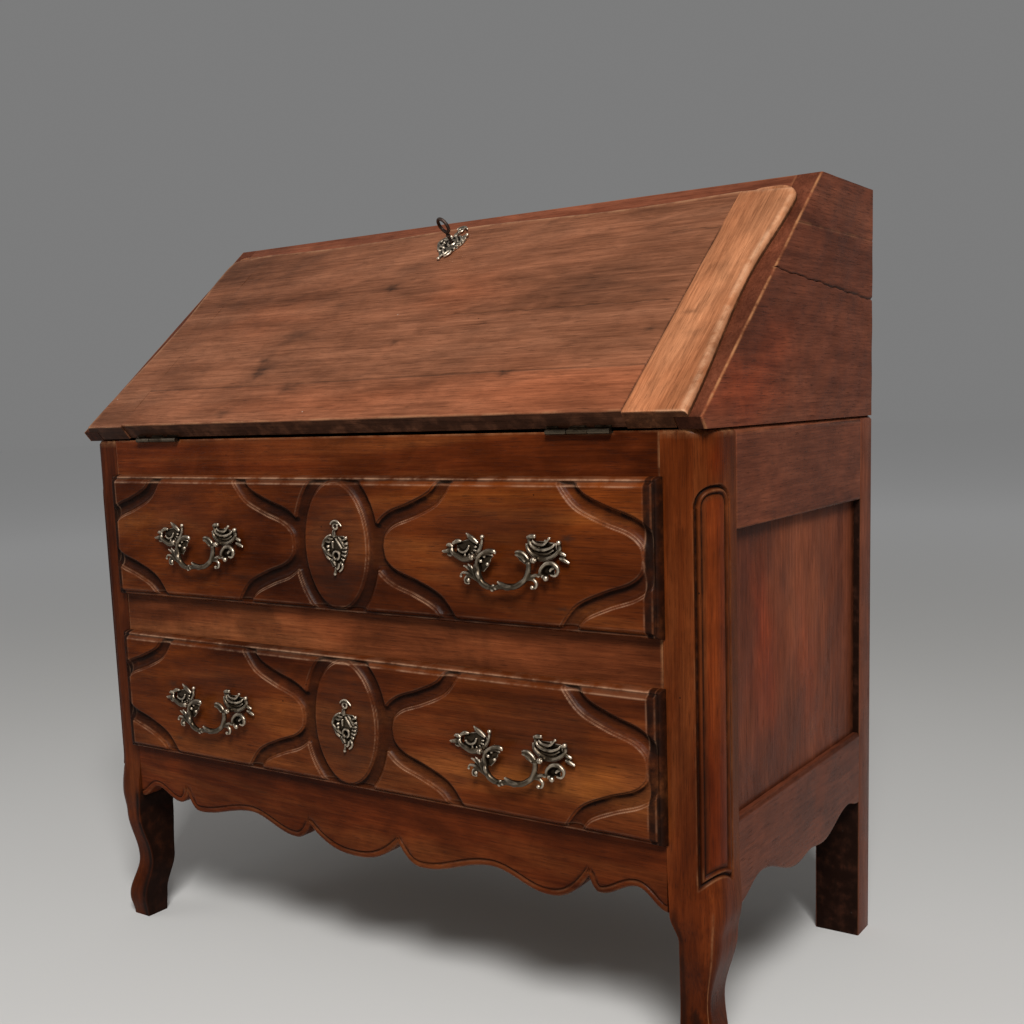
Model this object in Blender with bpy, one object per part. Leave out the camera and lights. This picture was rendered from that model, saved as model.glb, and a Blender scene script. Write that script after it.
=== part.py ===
"""Slant-front bureau: a two-drawer case on cabriole front feet with a sloping fall-front desk on top.

Metres, +Z up, front towards -Y. The origin is on the floor, under the middle of the whole object.
"""
import math

import bmesh
import bpy
from mathutils import Matrix, Vector

# Overall sizes
CASE_WIDTH = 1.000
CASE_DEPTH = 0.521
CASE_HEIGHT = 0.735        # floor to the writing surface
OVERALL_HEIGHT = 1.034
SLOPE = math.radians(39.74)
GAP = 0.0003               # joint left between two pieces that are seated on each other

# Front frame of the case
STILE_WIDTH = 0.0555
STILE_DEPTH = 0.070
CORNER_WIDTH = 0.025       # rounded outer corner of a front stile, across the front
CORNER_DEPTH = 0.040       # and along the side
RAIL_THICKNESS = 0.026
APRON_THICKNESS = 0.025
APRON_TOP = 0.281
LOWER_OPENING = 0.1715
MIDDLE_RAIL = 0.0605
UPPER_OPENING = 0.170
TOP_CHAMFER = 0.005

# Cabriole front feet: height, how far the outer corner swings out, how far the inner faces draw in
# and the corner's roundness across and along
FOOT_STATIONS = (
    (0.000, -0.004, 0.010, 0.010, 0.010),
    (0.025, 0.000, 0.008, 0.010, 0.010),
    (0.100, -0.014, 0.009, 0.008, 0.008),
    (0.200, 0.004, 0.004, 0.026, 0.034),
    (0.260, 0.000, 0.000, CORNER_WIDTH, CORNER_DEPTH),
)
FOOT_STEPS = 4

# Shaped lower edges: place, height, and whether the point is a cusp or a smooth crest or trough.
# A place on the front edge is a share of its half length from the middle, and one on a side edge a share
# of its length from the front. The front one is sawn by hand, so its two halves differ.
APRON_EDGE = (
    (-0.923, 0.217, False),
    (-0.815, 0.200, False),
    (-0.774, 0.216, True),
    (-0.716, 0.192, False),
    (-0.477, 0.209, False),
    (-0.288, 0.187, False),
    (-0.223, 0.209, True),
    (-0.045, 0.179, False),
    (0.128, 0.210, True),
    (0.214, 0.184, False),
    (0.461, 0.207, False),
    (0.639, 0.187, False),
    (0.770, 0.222, True),
    (0.804, 0.204, False),
    (0.912, 0.221, False),
)
APRON_END_HIGH = 0.198
SIDE_APRON_EDGE = (
    (0.154, 0.213, False),
    (0.442, 0.183, False),
    (0.550, 0.188, False),
    (0.659, 0.183, False),
    (0.892, 0.206, False),
)
SIDE_APRON_FRONT_LOW = 0.193
SIDE_APRON_BACK_LOW = 0.197
EDGE_STEPS = 4

# Sides and back of the case
SIDE_FRAME = 0.024
SIDE_RAIL_HEIGHT = 0.1115
SIDE_APRON_TOP = 0.2975
PANEL_RECESS = 0.009
PANEL_THICKNESS = 0.012
REAR_STILE_WIDTH = 0.063
REAR_STILE_DEPTH = 0.044
BACK_THICKNESS = 0.014
BACK_INSET = 0.007
BACK_BOTTOM = 0.215
BOARD_THICKNESS = 0.012
GUIDE_HEIGHT = 0.018

# Drawers
DRAWER_PROUD = 0.017       # field of a drawer front in front of the case
LIP_OVERLAP = 0.003        # lip over the stiles and rails
MOULDING_OUT = 0.0035      # outer step of the lip moulding
MOULDING_IN = 0.0065       # inner step, up to the field
MOULDING_DROP = 0.005      # field down to the arris between the two steps
DRAWER_INSIDE = 0.013      # part of the front that enters the opening
DRAWER_SIDE_CLEARANCE = 0.0015
DRAWER_RUN_CLEARANCE = 0.0008
DRAWER_SIDE = 0.012
DRAWER_BACK = 0.010
DRAWER_BOTTOM = 0.008
DRAWER_LENGTH = 0.430
DRAWER_HEADROOM = 0.008

# Drawer locks
DRAWER_LOCK_WIDTH = 0.060
DRAWER_LOCK_HEIGHT = 0.040
DRAWER_LOCK_DEPTH = 0.009
DRAWER_BOLT_WIDTH = 0.020
DRAWER_BOLT_DEPTH = 0.005
DRAWER_BOLT_LENGTH = 0.030
DRAWER_BOLT_THROW = 0.010
KEYHOLE_RADIUS = 0.0028
KEYHOLE_BELOW = 0.012      # keyhole under the middle of the lock

# Handles: places are from the middle of a handle, heights from its pivot
HANDLE_INSET = 0.1885      # middle of a handle inside its stile
HANDLE_DROP = 0.004        # pivot below the middle of the field
PIVOT_OUT = 0.0145         # pivot in front of the field
LUG_X = 0.047
LUG_WIDTH = 0.008
LUG_RADIUS = 0.0052
BAIL_RADIUS = 0.0042
BAIL_HALF = 0.0365
BAIL_DROP = 0.028
BAIL_STEPS = 8
BAIL_CURL = 0.0048         # height and half width of the curl above each end of the bail
CURL_RADIUS = 0.0025
PIN_RADIUS = 0.0021
PIN_REST = 0.006           # pin past the middle of a lug
PIN_PLAY = 0.0003
LEAF_OUT = 0.049           # leaf on the outer side of each end of the bail
LEAF_DROP = 0.018
LEAF_HALF = 0.020
LEAF_HIGH = 0.018
BAIL_LEAF = 0.005
MOUNT_THICKNESS = 0.006
CRESCENT_RADIUS = 0.0225
CRESCENT_RISE = 0.016      # middle of the crescent above the pivot
CRESCENT_HOLLOW = 0.009    # dip of its upper edge
CRESCENT_HORN = 0.007      # horns above its middle
TAIL_OUT = 0.041
TAIL_RISE = 0.006
TAIL_WIDTH = 0.007

# Escutcheons: a pear-shaped plate with a round crest
ESCUTCHEON_X = -0.004
ESCUTCHEON_DROP = 0.003    # middle of the plate below the middle of the field
ESCUTCHEON_THICKNESS = 0.004
PEAR_HALF = 0.0225
PEAR_TIP = 0.034           # pointed end below the middle
PEAR_WIDEST = 0.004        # widest place above the middle
PEAR_NECK = 0.019
NECK_HALF = 0.005
CREST_RADIUS = 0.0075
FALL_PEAR_SHARE = 1.08     # plate on the fall against those on the drawers

# Desk
DESK_SIDE = 0.032
TOP_THICKNESS = 0.028
BED_THICKNESS = 0.016
BED_SEAT = 0.012           # how far the bed lies on the top rail

# Fall front: local X across, local Y up the slope, local Z outwards, from the hinge axis
HINGE_FORWARD = 0.0057     # axis in front of the case
KNUCKLE_RADIUS = 0.0032
FALL_LIP = 0.010           # thickness that lies over the slanted edges
FALL_REBATE = 0.014        # thickness that drops between the desk sides
FALL_EDGE_CLEARANCE = 0.0015
FALL_TOP_CLEARANCE = 0.0011
FALL_TOP_OVERLAP = 0.009   # lip over the edge of the desk top
FALL_TOP_WAVE = 0.004
FALL_TOP_WAVE_LENGTH = 0.500
FALL_SIDE_INSET = 0.0205   # middle of the wavy side edges inside the case sides
FALL_SIDE_WAVE = 0.005
FALL_SIDE_NARROW = 0.60    # share of the height where the side edges are narrowest
FALL_CORNER = 0.030
CLEAT_WIDTH = 0.0715
BOARD_SHORT = 0.003        # board ends above the cleats
OUTLINE_STEPS = 12
CORNER_STEPS = 6
FLAT_ANGLE = 0.001         # radians; faces closer than this are one flat face

# Hinges of the fall
HINGE_INSET = 0.061        # middle of a hinge inside its cleat
HINGE_LENGTH = 0.083
LEAF_THICKNESS = 0.0015
LEAF_DEPTH = 0.030
LEAF_WIDTH = 0.018
HINGE_PIN_RADIUS = 0.0013
HINGE_PLAY = 0.0003

# Lock and key of the fall
LOCK_X = -0.0145
LOCK_WIDTH = 0.070
LOCK_HEIGHT = 0.068
LOCK_DEPTH = 0.012
BOLT_WIDTH = 0.024
BOLT_DEPTH = 0.004
BOLT_LENGTH = 0.056
BOLT_SET = 0.002           # bolt behind the inner face
BOLT_THROW = 0.020
KEY_BELOW = 0.0315         # key under the top edge of the lock
KEY_RADIUS = 0.0025
KEY_HOLE_PLAY = 0.001
KEY_BIT_REACH = 0.009
KEY_BIT_WIDTH = 0.003
KEY_BIT_THICKNESS = 0.002
KEY_PLATE = 0.0012         # lock plate in front of the bit
KEY_OUT = 0.0215           # shank outside the fall
BOW_RADIUS = 0.0105
BOW_WIRE = 0.0021
BOW_TURN = math.radians(-10)
KEEPER_LENGTH = 0.050
KEEPER_WIDTH = 0.028
KEEPER_THICKNESS = 0.0015
BOLT_PLAY = 0.0006

# Pigeonhole nest and the two small drawers in it
NEST_DEPTH = 0.150
NEST_HEADROOM = 0.0157     # nest under the desk top
NEST_FALL_CLEARANCE = 0.010    # nest's upper front edge behind the closed fall
NEST_SIDE_CLEARANCE = 0.0008
NEST_BOARD = 0.008
NEST_BACK = 0.006
NEST_DRAWER_BAY = 0.072
NEST_DRAWER_WIDTH = 0.250
NEST_PIGEONHOLES = 5
INNER_CLEARANCE = 0.0008
INNER_WALL = 0.007
NOTCH_RADIUS = 0.012

# Places worked out from the sizes above
HALF = CASE_WIDTH / 2
HANDLE_REACH = PIVOT_OUT + LUG_RADIUS
FRONT = (DRAWER_PROUD + HANDLE_REACH - CASE_DEPTH) / 2
BACK = FRONT + CASE_DEPTH
OPEN_HALF = HALF - STILE_WIDTH
HANDLE_X = OPEN_HALF - HANDLE_INSET
STILE_REAR = FRONT + STILE_DEPTH
REAR_FRONT = BACK - REAR_STILE_DEPTH
REAR_INNER = HALF - REAR_STILE_WIDTH
LOWER_Z = (APRON_TOP, APRON_TOP + LOWER_OPENING)
UPPER_Z = (LOWER_Z[1] + MIDDLE_RAIL, LOWER_Z[1] + MIDDLE_RAIL + UPPER_OPENING)
BACK_FACE = BACK - BACK_INSET
BACK_INNER = BACK_FACE - BACK_THICKNESS
PANEL_INNER = HALF - PANEL_RECESS - PANEL_THICKNESS
DESK_INNER = HALF - DESK_SIDE
FALL_BACKSET = KNUCKLE_RADIUS + GAP
UP_SLOPE = Vector((0, math.cos(SLOPE), math.sin(SLOPE)))
OUTWARD = Vector((0, -math.sin(SLOPE), math.cos(SLOPE)))
HINGE = Vector((0, FRONT - HINGE_FORWARD, CASE_HEIGHT))
NOSE = HINGE + OUTWARD * FALL_REBATE + UP_SLOPE * FALL_BACKSET
TOP_FRONT = NOSE.y + (OVERALL_HEIGHT - NOSE.z) / math.tan(SLOPE)
TOP_BOTTOM = OVERALL_HEIGHT - TOP_THICKNESS
FALL_FACE = FALL_REBATE + FALL_LIP
FALL_SEAT = FALL_REBATE + GAP
FALL_INNER_TOP = FALL_BACKSET + (TOP_BOTTOM - NOSE.z) / math.sin(SLOPE) - FALL_TOP_CLEARANCE
FALL_TOP = FALL_INNER_TOP + FALL_TOP_CLEARANCE + FALL_TOP_OVERLAP
FALL_INNER_HALF = DESK_INNER - FALL_EDGE_CLEARANCE
FALL_HALF_WIDTH = HALF - FALL_SIDE_INSET
CLEAT_INNER = FALL_HALF_WIDTH - CLEAT_WIDTH
HINGE_X = CLEAT_INNER - HINGE_INSET
KEY_Y = FALL_INNER_TOP - KEY_BELOW
KEY_BIT_TOP = LOCK_DEPTH - KEY_PLATE - GAP
SHANK_START = KEY_BIT_TOP - KEY_BIT_WIDTH


def clear_scene():
    for item in list(bpy.data.objects):
        bpy.data.objects.remove(item, do_unlink=True)


def new_collection(name):
    group = bpy.data.collections.new(name)
    bpy.context.scene.collection.children.link(group)
    return group


def principled(name, colour, roughness, metallic=0.0):
    mat = bpy.data.materials.new(name)
    mat.use_nodes = True
    shader = mat.node_tree.nodes["Principled BSDF"]
    shader.inputs["Base Color"].default_value = (*colour, 1.0)
    shader.inputs["Roughness"].default_value = roughness
    shader.inputs["Metallic"].default_value = metallic
    return mat


clear_scene()
PARTS = new_collection("slant_front_bureau")
CUTTERS = new_collection("bureau_cutters")
FINISH = {
    "walnut": ((0.165, 0.060, 0.028), 0.42, 0.0),
    "oak": ((0.290, 0.180, 0.095), 0.65, 0.0),
    "brass": ((0.300, 0.250, 0.165), 0.38, 1.0),
    "iron": ((0.045, 0.038, 0.034), 0.50, 1.0),
}


# Building blocks
def part_material(name, finish):
    colour, roughness, metallic = FINISH[finish]
    return principled(name + "_" + finish, colour, roughness, metallic)


def add_object(name, mesh, finish=None, parent=None):
    """A part with its own material, or a cutter when no finish is given."""
    item = bpy.data.objects.new(name, mesh)
    if finish:
        PARTS.objects.link(item)
        mesh.materials.append(part_material(name, finish))
    else:
        CUTTERS.objects.link(item)
        item.hide_render = True
        item.display_type = "WIRE"
    item.parent = parent
    return item


def add_empty(name, location, rotation=(0, 0, 0), parent=None):
    item = bpy.data.objects.new(name, None)
    PARTS.objects.link(item)
    item.parent = parent
    item.location = location
    item.rotation_euler = rotation
    return item


def mesh_from(bm, name):
    bmesh.ops.recalc_face_normals(bm, faces=bm.faces)
    mesh = bpy.data.meshes.new(name)
    bm.to_mesh(mesh)
    bm.free()
    return mesh


def box(name, low, high, finish=None, parent=None):
    """A block between two opposite corners, with its origin at its middle."""
    low = Vector(low)
    high = Vector(high)
    bm = bmesh.new()
    bmesh.ops.create_cube(bm, size=1.0, matrix=Matrix.Diagonal((*(high - low), 1.0)))
    item = add_object(name, mesh_from(bm, name), finish, parent)
    item.location = (low + high) / 2
    return item


def cylinder(name, centre, radius, length, axis, finish=None, parent=None, segments=16):
    bm = bmesh.new()
    turn = {"X": Matrix.Rotation(math.pi / 2, 4, "Y"), "Y": Matrix.Rotation(math.pi / 2, 4, "X")}
    bmesh.ops.create_cone(bm, cap_ends=True, segments=segments, radius1=radius, radius2=radius,
                          depth=length, matrix=turn.get(axis, Matrix.Identity(4)))
    item = add_object(name, mesh_from(bm, name), finish, parent)
    item.location = centre
    shade_round(item)
    return item


def shade_round(item):
    item.data.shade_smooth()
    item.data.set_sharp_from_angle(angle=math.radians(40))


PLANES = {
    "XY": Matrix.Identity(4),
    "XZ": Matrix(((1, 0, 0, 0), (0, 0, 1, 0), (0, 1, 0, 0), (0, 0, 0, 1))),
    "YZ": Matrix(((0, 0, 1, 0), (1, 0, 0, 0), (0, 1, 0, 0), (0, 0, 0, 1))),
}


def outline(name, points, plane, low, high, finish=None, parent=None, hole=None):
    """A flat outline in a plane, with an optional hole, thick from low to high across that plane."""
    curve = bpy.data.curves.new(name + "_outline", "CURVE")
    curve.dimensions = "2D"
    curve.fill_mode = "BOTH"
    curve.extrude = (high - low) / 2
    for loop in (points, hole):
        if loop:
            spline = curve.splines.new("POLY")
            spline.points.add(len(loop) - 1)
            for place, (u, v) in zip(spline.points, loop):
                place.co = (u, v, 0, 1)
            spline.use_cyclic_u = True
    mesh = solid_from_curve(curve, name)
    mesh.transform(PLANES[plane] @ Matrix.Translation((0, 0, (low + high) / 2)))
    bm = bmesh.new()
    bm.from_mesh(mesh)
    bpy.data.meshes.remove(mesh)
    if not hole:
        bmesh.ops.dissolve_limit(bm, angle_limit=FLAT_ANGLE, verts=bm.verts, edges=bm.edges)
    return add_object(name, mesh_from(bm, name), finish, parent)


def solid_from_curve(curve, name):
    """The closed mesh of a filled or bevelled curve, with its caps welded on."""
    holder = bpy.data.objects.new(name + "_curve", curve)
    CUTTERS.objects.link(holder)
    view = bpy.context.evaluated_depsgraph_get()
    mesh = bpy.data.meshes.new_from_object(holder.evaluated_get(view))
    bpy.data.objects.remove(holder, do_unlink=True)
    bpy.data.curves.remove(curve)
    bm = bmesh.new()
    bm.from_mesh(mesh)
    bmesh.ops.remove_doubles(bm, verts=bm.verts, dist=0.00001)
    bm.to_mesh(mesh)
    bm.free()
    return mesh


def tube(name, points, radii, finish, parent=None):
    """A round bar along a line of points with its own radius at each, closed at both ends."""
    curve = bpy.data.curves.new(name + "_line", "CURVE")
    curve.dimensions = "3D"
    curve.bevel_depth = max(radii)
    curve.bevel_resolution = 2
    curve.use_fill_caps = True
    spline = curve.splines.new("POLY")
    spline.points.add(len(points) - 1)
    for place, point, radius in zip(spline.points, points, radii):
        place.co = (*point, 1)
        place.radius = radius / max(radii)
    mesh = solid_from_curve(curve, name)
    bm = bmesh.new()
    bm.from_mesh(mesh)
    bpy.data.meshes.remove(mesh)
    item = add_object(name, mesh_from(bm, name), finish, parent)
    shade_round(item)
    return item


def loft(name, rings, finish, parent=None):
    """A closed skin over rings of equal point counts, capped at both ends."""
    bm = bmesh.new()
    rows = [[bm.verts.new(point) for point in ring] for ring in rings]
    count = len(rows[0])
    for near, far in zip(rows, rows[1:]):
        for i in range(count):
            j = (i + 1) % count
            bm.faces.new((near[i], near[j], far[j], far[i]))
    bm.faces.new(rows[0])
    bm.faces.new(rows[-1])
    return add_object(name, mesh_from(bm, name), finish, parent)


def combine(item, other, operation):
    change = item.modifiers.new(operation.lower() + "_" + other.name, "BOOLEAN")
    change.operation = operation
    change.object = other
    change.solver = "EXACT"


def cut(item, *cutters):
    for cutter in cutters:
        combine(item, cutter, "DIFFERENCE")


def join(item, *others):
    for other in others:
        combine(item, other, "UNION")


def ease(start, end, share):
    return start + (end - start) * (1 - math.cos(math.pi * share)) / 2


def shaped_edge(stations):
    """Points of a sawn edge through crests, troughs and cusps; it runs level except into a cusp."""
    edge = []
    for (place_a, high_a, cusp_a), (place_b, high_b, cusp_b) in zip(stations, stations[1:]):
        for step in range(EDGE_STEPS):
            share = step / EDGE_STEPS
            place = place_a + (place_b - place_a) * share
            if cusp_b and not cusp_a:
                high = high_a + (high_b - high_a) * share ** 2.4
            elif cusp_a and not cusp_b:
                high = high_b + (high_a - high_b) * (1 - share) ** 2.4
            else:
                high = ease(high_a, high_b, share)
            edge.append((place, high))
    edge.append(stations[-1][:2])
    return edge


def crescent_outline():
    """Shell-like crescent, open upwards, with a tail on its outer side; the lug is at its foot."""
    low = [math.radians(angle) for angle in range(-15, -181, -15)]
    belly = [(CRESCENT_RADIUS * math.cos(a), CRESCENT_RISE + CRESCENT_RADIUS * math.sin(a)) for a in low]
    belly = [(-u, v) for u, v in belly]
    tail = [(TAIL_OUT, TAIL_RISE), (CRESCENT_RADIUS, TAIL_RISE + TAIL_WIDTH)]
    horn = CRESCENT_RISE + CRESCENT_HORN
    reach = CRESCENT_RADIUS * 0.9
    across = (1, 0.6, 0.2, -0.2, -0.6, -1)
    hollow = [(reach * share, horn - CRESCENT_HOLLOW * (1 - share ** 2)) for share in across]
    return belly[:-1] + tail + hollow


def pear_outline(share=1.0):
    """Plate that swells from a point at the bottom and narrows to a neck under a round crest."""
    side = []
    for step in range(8):
        rise = step / 7
        high = -PEAR_TIP + (PEAR_WIDEST + PEAR_TIP) * rise
        side.append((PEAR_HALF * math.sin(math.pi / 2 * rise) ** 0.8, high))
    for step in range(1, 4):
        turn = math.pi / 2 * step / 3
        side.append((NECK_HALF + (PEAR_HALF - NECK_HALF) * math.cos(turn),
                     PEAR_WIDEST + (PEAR_NECK - PEAR_WIDEST) * math.sin(turn)))
    centre = PEAR_NECK + math.sqrt(CREST_RADIUS ** 2 - NECK_HALF ** 2)
    start = math.asin((PEAR_NECK - centre) / CREST_RADIUS)
    turns = [start + (math.pi / 2 - start) * step / 5 for step in range(1, 6)]
    side += [(CREST_RADIUS * math.cos(a), centre + CREST_RADIUS * math.sin(a)) for a in turns]
    shape = side + [(-u, v) for u, v in reversed(side[1:-1])]
    return [(share * u, share * v) for u, v in shape]


def circle(radius, steps=12, centre=(0, 0)):
    turn = [2 * math.pi * step / steps for step in range(steps)]
    return [(centre[0] + radius * math.cos(a), centre[1] + radius * math.sin(a)) for a in turn]


def ellipse(half_width, half_height, steps=16):
    turn = [2 * math.pi * step / steps for step in range(steps)]
    return [(half_width * math.cos(a), half_height * math.sin(a)) for a in turn]


def shifted(points, along, up):
    return [(u + along, v + up) for u, v in points]


def mirrored(points, side):
    return [(side * u, v) for u, v in points]


SIDES = (("left", -1), ("right", 1))


# Case frame
def stile_ring(side, height, swing, slim, corner_width, corner_depth, chamfer=0.0):
    """Level section of a front stile, from its inner front edge round the outer corner."""
    inner = OPEN_HALF + slim
    outer = HALF + swing - chamfer
    front = FRONT - swing
    rear = STILE_REAR - slim
    ring = [Vector((inner, front, height))]
    for step in range(CORNER_STEPS + 1):
        angle = math.pi / 2 * step / CORNER_STEPS
        ring.append(Vector((outer - corner_width * (1 - math.sin(angle)),
                            front + corner_depth * (1 - math.cos(angle)), height)))
    ring += [Vector((outer, rear, height)), Vector((inner, rear, height))]
    return [Vector((side * point.x, point.y, point.z)) for point in ring]


def make_front_stiles():
    for word, side in SIDES:
        rings = []
        for low, high in zip(FOOT_STATIONS, FOOT_STATIONS[1:]):
            for step in range(FOOT_STEPS):
                values = [ease(a, b, step / FOOT_STEPS) for a, b in zip(low[1:], high[1:])]
                height = low[0] + (high[0] - low[0]) * step / FOOT_STEPS
                rings.append(stile_ring(side, height, *values))
        rings.append(stile_ring(side, *FOOT_STATIONS[-1]))
        plain = FOOT_STATIONS[-1][1:]
        rings.append(stile_ring(side, CASE_HEIGHT - TOP_CHAMFER, *plain))
        rings.append(stile_ring(side, CASE_HEIGHT, *plain, TOP_CHAMFER))
        stile = loft("front_stile_" + word, rings, "walnut")
        shade_round(stile)


def make_rear_stiles():
    for word, side in SIDES:
        section = [(REAR_INNER, 0), (HALF, 0), (HALF, CASE_HEIGHT - TOP_CHAMFER),
                   (HALF - TOP_CHAMFER, CASE_HEIGHT), (REAR_INNER, CASE_HEIGHT)]
        outline("rear_stile_" + word, mirrored(section, side), "XZ", REAR_FRONT, BACK, "walnut")


def make_front_rails():
    span = OPEN_HALF - GAP
    seat = CASE_HEIGHT - BED_THICKNESS - GAP
    lap = FRONT + RAIL_THICKNESS - BED_SEAT
    section = [(FRONT, UPPER_Z[1]), (FRONT + RAIL_THICKNESS, UPPER_Z[1]), (FRONT + RAIL_THICKNESS, seat),
               (lap, seat), (lap, CASE_HEIGHT), (FRONT, CASE_HEIGHT)]
    top = outline("top_front_rail", section, "YZ", -span, span, "walnut")
    middle = box("middle_front_rail", (-span, FRONT, LOWER_Z[1]),
                 (span, FRONT + RAIL_THICKNESS, UPPER_Z[0]), "walnut")
    stations = [(-span, APRON_END_HIGH, False)]
    stations += [(span * share, high, cusp) for share, high, cusp in APRON_EDGE]
    stations.append((span, APRON_END_HIGH, False))
    edge = shaped_edge(stations)
    outline("front_apron", edge + [(span, APRON_TOP), (-span, APRON_TOP)], "XZ",
            FRONT, FRONT + APRON_THICKNESS, "walnut")
    return top, middle


def make_sides():
    front = STILE_REAR + GAP
    rear = REAR_FRONT - GAP
    rail_bottom = CASE_HEIGHT - SIDE_RAIL_HEIGHT
    for word, side in SIDES:
        section = [(HALF - SIDE_FRAME, rail_bottom), (HALF, rail_bottom),
                   (HALF, CASE_HEIGHT - TOP_CHAMFER), (HALF - TOP_CHAMFER, CASE_HEIGHT),
                   (HALF - SIDE_FRAME, CASE_HEIGHT)]
        outline("side_top_rail_" + word, mirrored(section, side), "XZ", front, rear, "walnut")
        stations = [(front, SIDE_APRON_FRONT_LOW, False)]
        stations += [(front + (rear - front) * share, high, cusp) for share, high, cusp in SIDE_APRON_EDGE]
        stations.append((rear, SIDE_APRON_BACK_LOW, False))
        edge = shaped_edge(stations)
        faces = sorted((side * (HALF - SIDE_FRAME), side * HALF))
        outline("side_apron_" + word, edge + [(rear, SIDE_APRON_TOP), (front, SIDE_APRON_TOP)], "YZ",
                *faces, "walnut")
        faces = sorted((side * PANEL_INNER, side * (HALF - PANEL_RECESS)))
        box("side_panel_" + word, (faces[0], front, SIDE_APRON_TOP + GAP),
            (faces[1], rear, rail_bottom - GAP), "walnut")


def make_back():
    box("lower_back_panel", (GAP - REAR_INNER, BACK_INNER, BACK_BOTTOM),
        (REAR_INNER - GAP, BACK_FACE, CASE_HEIGHT), "oak")
    box("upper_back_panel", (GAP - DESK_INNER, BACK_INNER, CASE_HEIGHT + GAP),
        (DESK_INNER - GAP, BACK_FACE, TOP_BOTTOM - GAP), "oak")


def make_drawer_boards():
    """Board that a drawer runs on, with a guide strip along each side and a tongue to the front rail."""
    places = (("bottom_board", APRON_TOP, HALF - SIDE_FRAME - GAP, APRON_THICKNESS),
              ("dust_board", UPPER_Z[0], PANEL_INNER - GAP, RAIL_THICKNESS))
    for name, top, half, rail in places:
        bottom = top - BOARD_THICKNESS
        guide = top + GUIDE_HEIGHT
        section = [(-half, bottom), (half, bottom), (half, guide), (OPEN_HALF, guide), (OPEN_HALF, top),
                   (-OPEN_HALF, top), (-OPEN_HALF, guide), (-half, guide)]
        board = outline(name, section, "XZ", STILE_REAR + GAP, REAR_FRONT - GAP, "oak")
        tongue = box(name + "_tongue", (GAP - OPEN_HALF, FRONT + rail + GAP, bottom),
                     (OPEN_HALF - GAP, STILE_REAR + BOARD_THICKNESS, top))
        join(board, tongue)


# Drawers
def rectangle(half, low, high, depth):
    return [Vector((-half, depth, low)), Vector((half, depth, low)),
            Vector((half, depth, high)), Vector((-half, depth, high))]


def make_drawer(word, opening, rail_above):
    """One drawer with its lock, escutcheon and two handles; the empty is its slide."""
    low, high = opening
    slide = add_empty(word + "_drawer_slide", (0, FRONT, low))
    height = high - low
    tight = OPEN_HALF - DRAWER_SIDE_CLEARANCE
    base = DRAWER_RUN_CLEARANCE
    roof = height - DRAWER_SIDE_CLEARANCE
    lip = OPEN_HALF + LIP_OVERLAP
    rings = [rectangle(tight, base, roof, DRAWER_INSIDE), rectangle(tight, base, roof, -GAP)]
    steps = ((0, -GAP), (MOULDING_OUT, MOULDING_DROP - DRAWER_PROUD),
             (MOULDING_OUT + MOULDING_IN, -DRAWER_PROUD))
    for inset, depth in steps:
        rings.append(rectangle(lip - inset, inset - LIP_OVERLAP, height + LIP_OVERLAP - inset, depth))
    front = loft(word + "_drawer_front", rings, "walnut", slide)

    tail = DRAWER_INSIDE + DRAWER_LENGTH
    head = DRAWER_INSIDE + GAP
    inner = tight - DRAWER_SIDE
    frame = [(-tight, head), (-inner, head), (-inner, tail - DRAWER_BACK), (inner, tail - DRAWER_BACK),
             (inner, head), (tight, head), (tight, tail), (-tight, tail)]
    floor_top = base + DRAWER_BOTTOM
    outline(word + "_drawer_frame", frame, "XY", floor_top + GAP, height - DRAWER_HEADROOM, "oak", slide)
    box(word + "_drawer_bottom", (-tight, head, base), (tight, tail, floor_top), "oak", slide)

    middle = height / 2
    make_drawer_lock(word, slide, front, rail_above, middle, roof)
    outer = -DRAWER_PROUD - GAP
    hole = circle(KEYHOLE_RADIUS, centre=(0, ESCUTCHEON_DROP - KEYHOLE_BELOW))
    plate = outline(word + "_drawer_escutcheon", pear_outline(), "XZ", outer - ESCUTCHEON_THICKNESS, outer,
                    "brass", slide, hole)
    plate.location = (ESCUTCHEON_X, 0, middle - ESCUTCHEON_DROP)
    for name, sign in SIDES:
        make_handle(word + "_" + name, sign * HANDLE_X, middle - HANDLE_DROP, slide)


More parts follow.
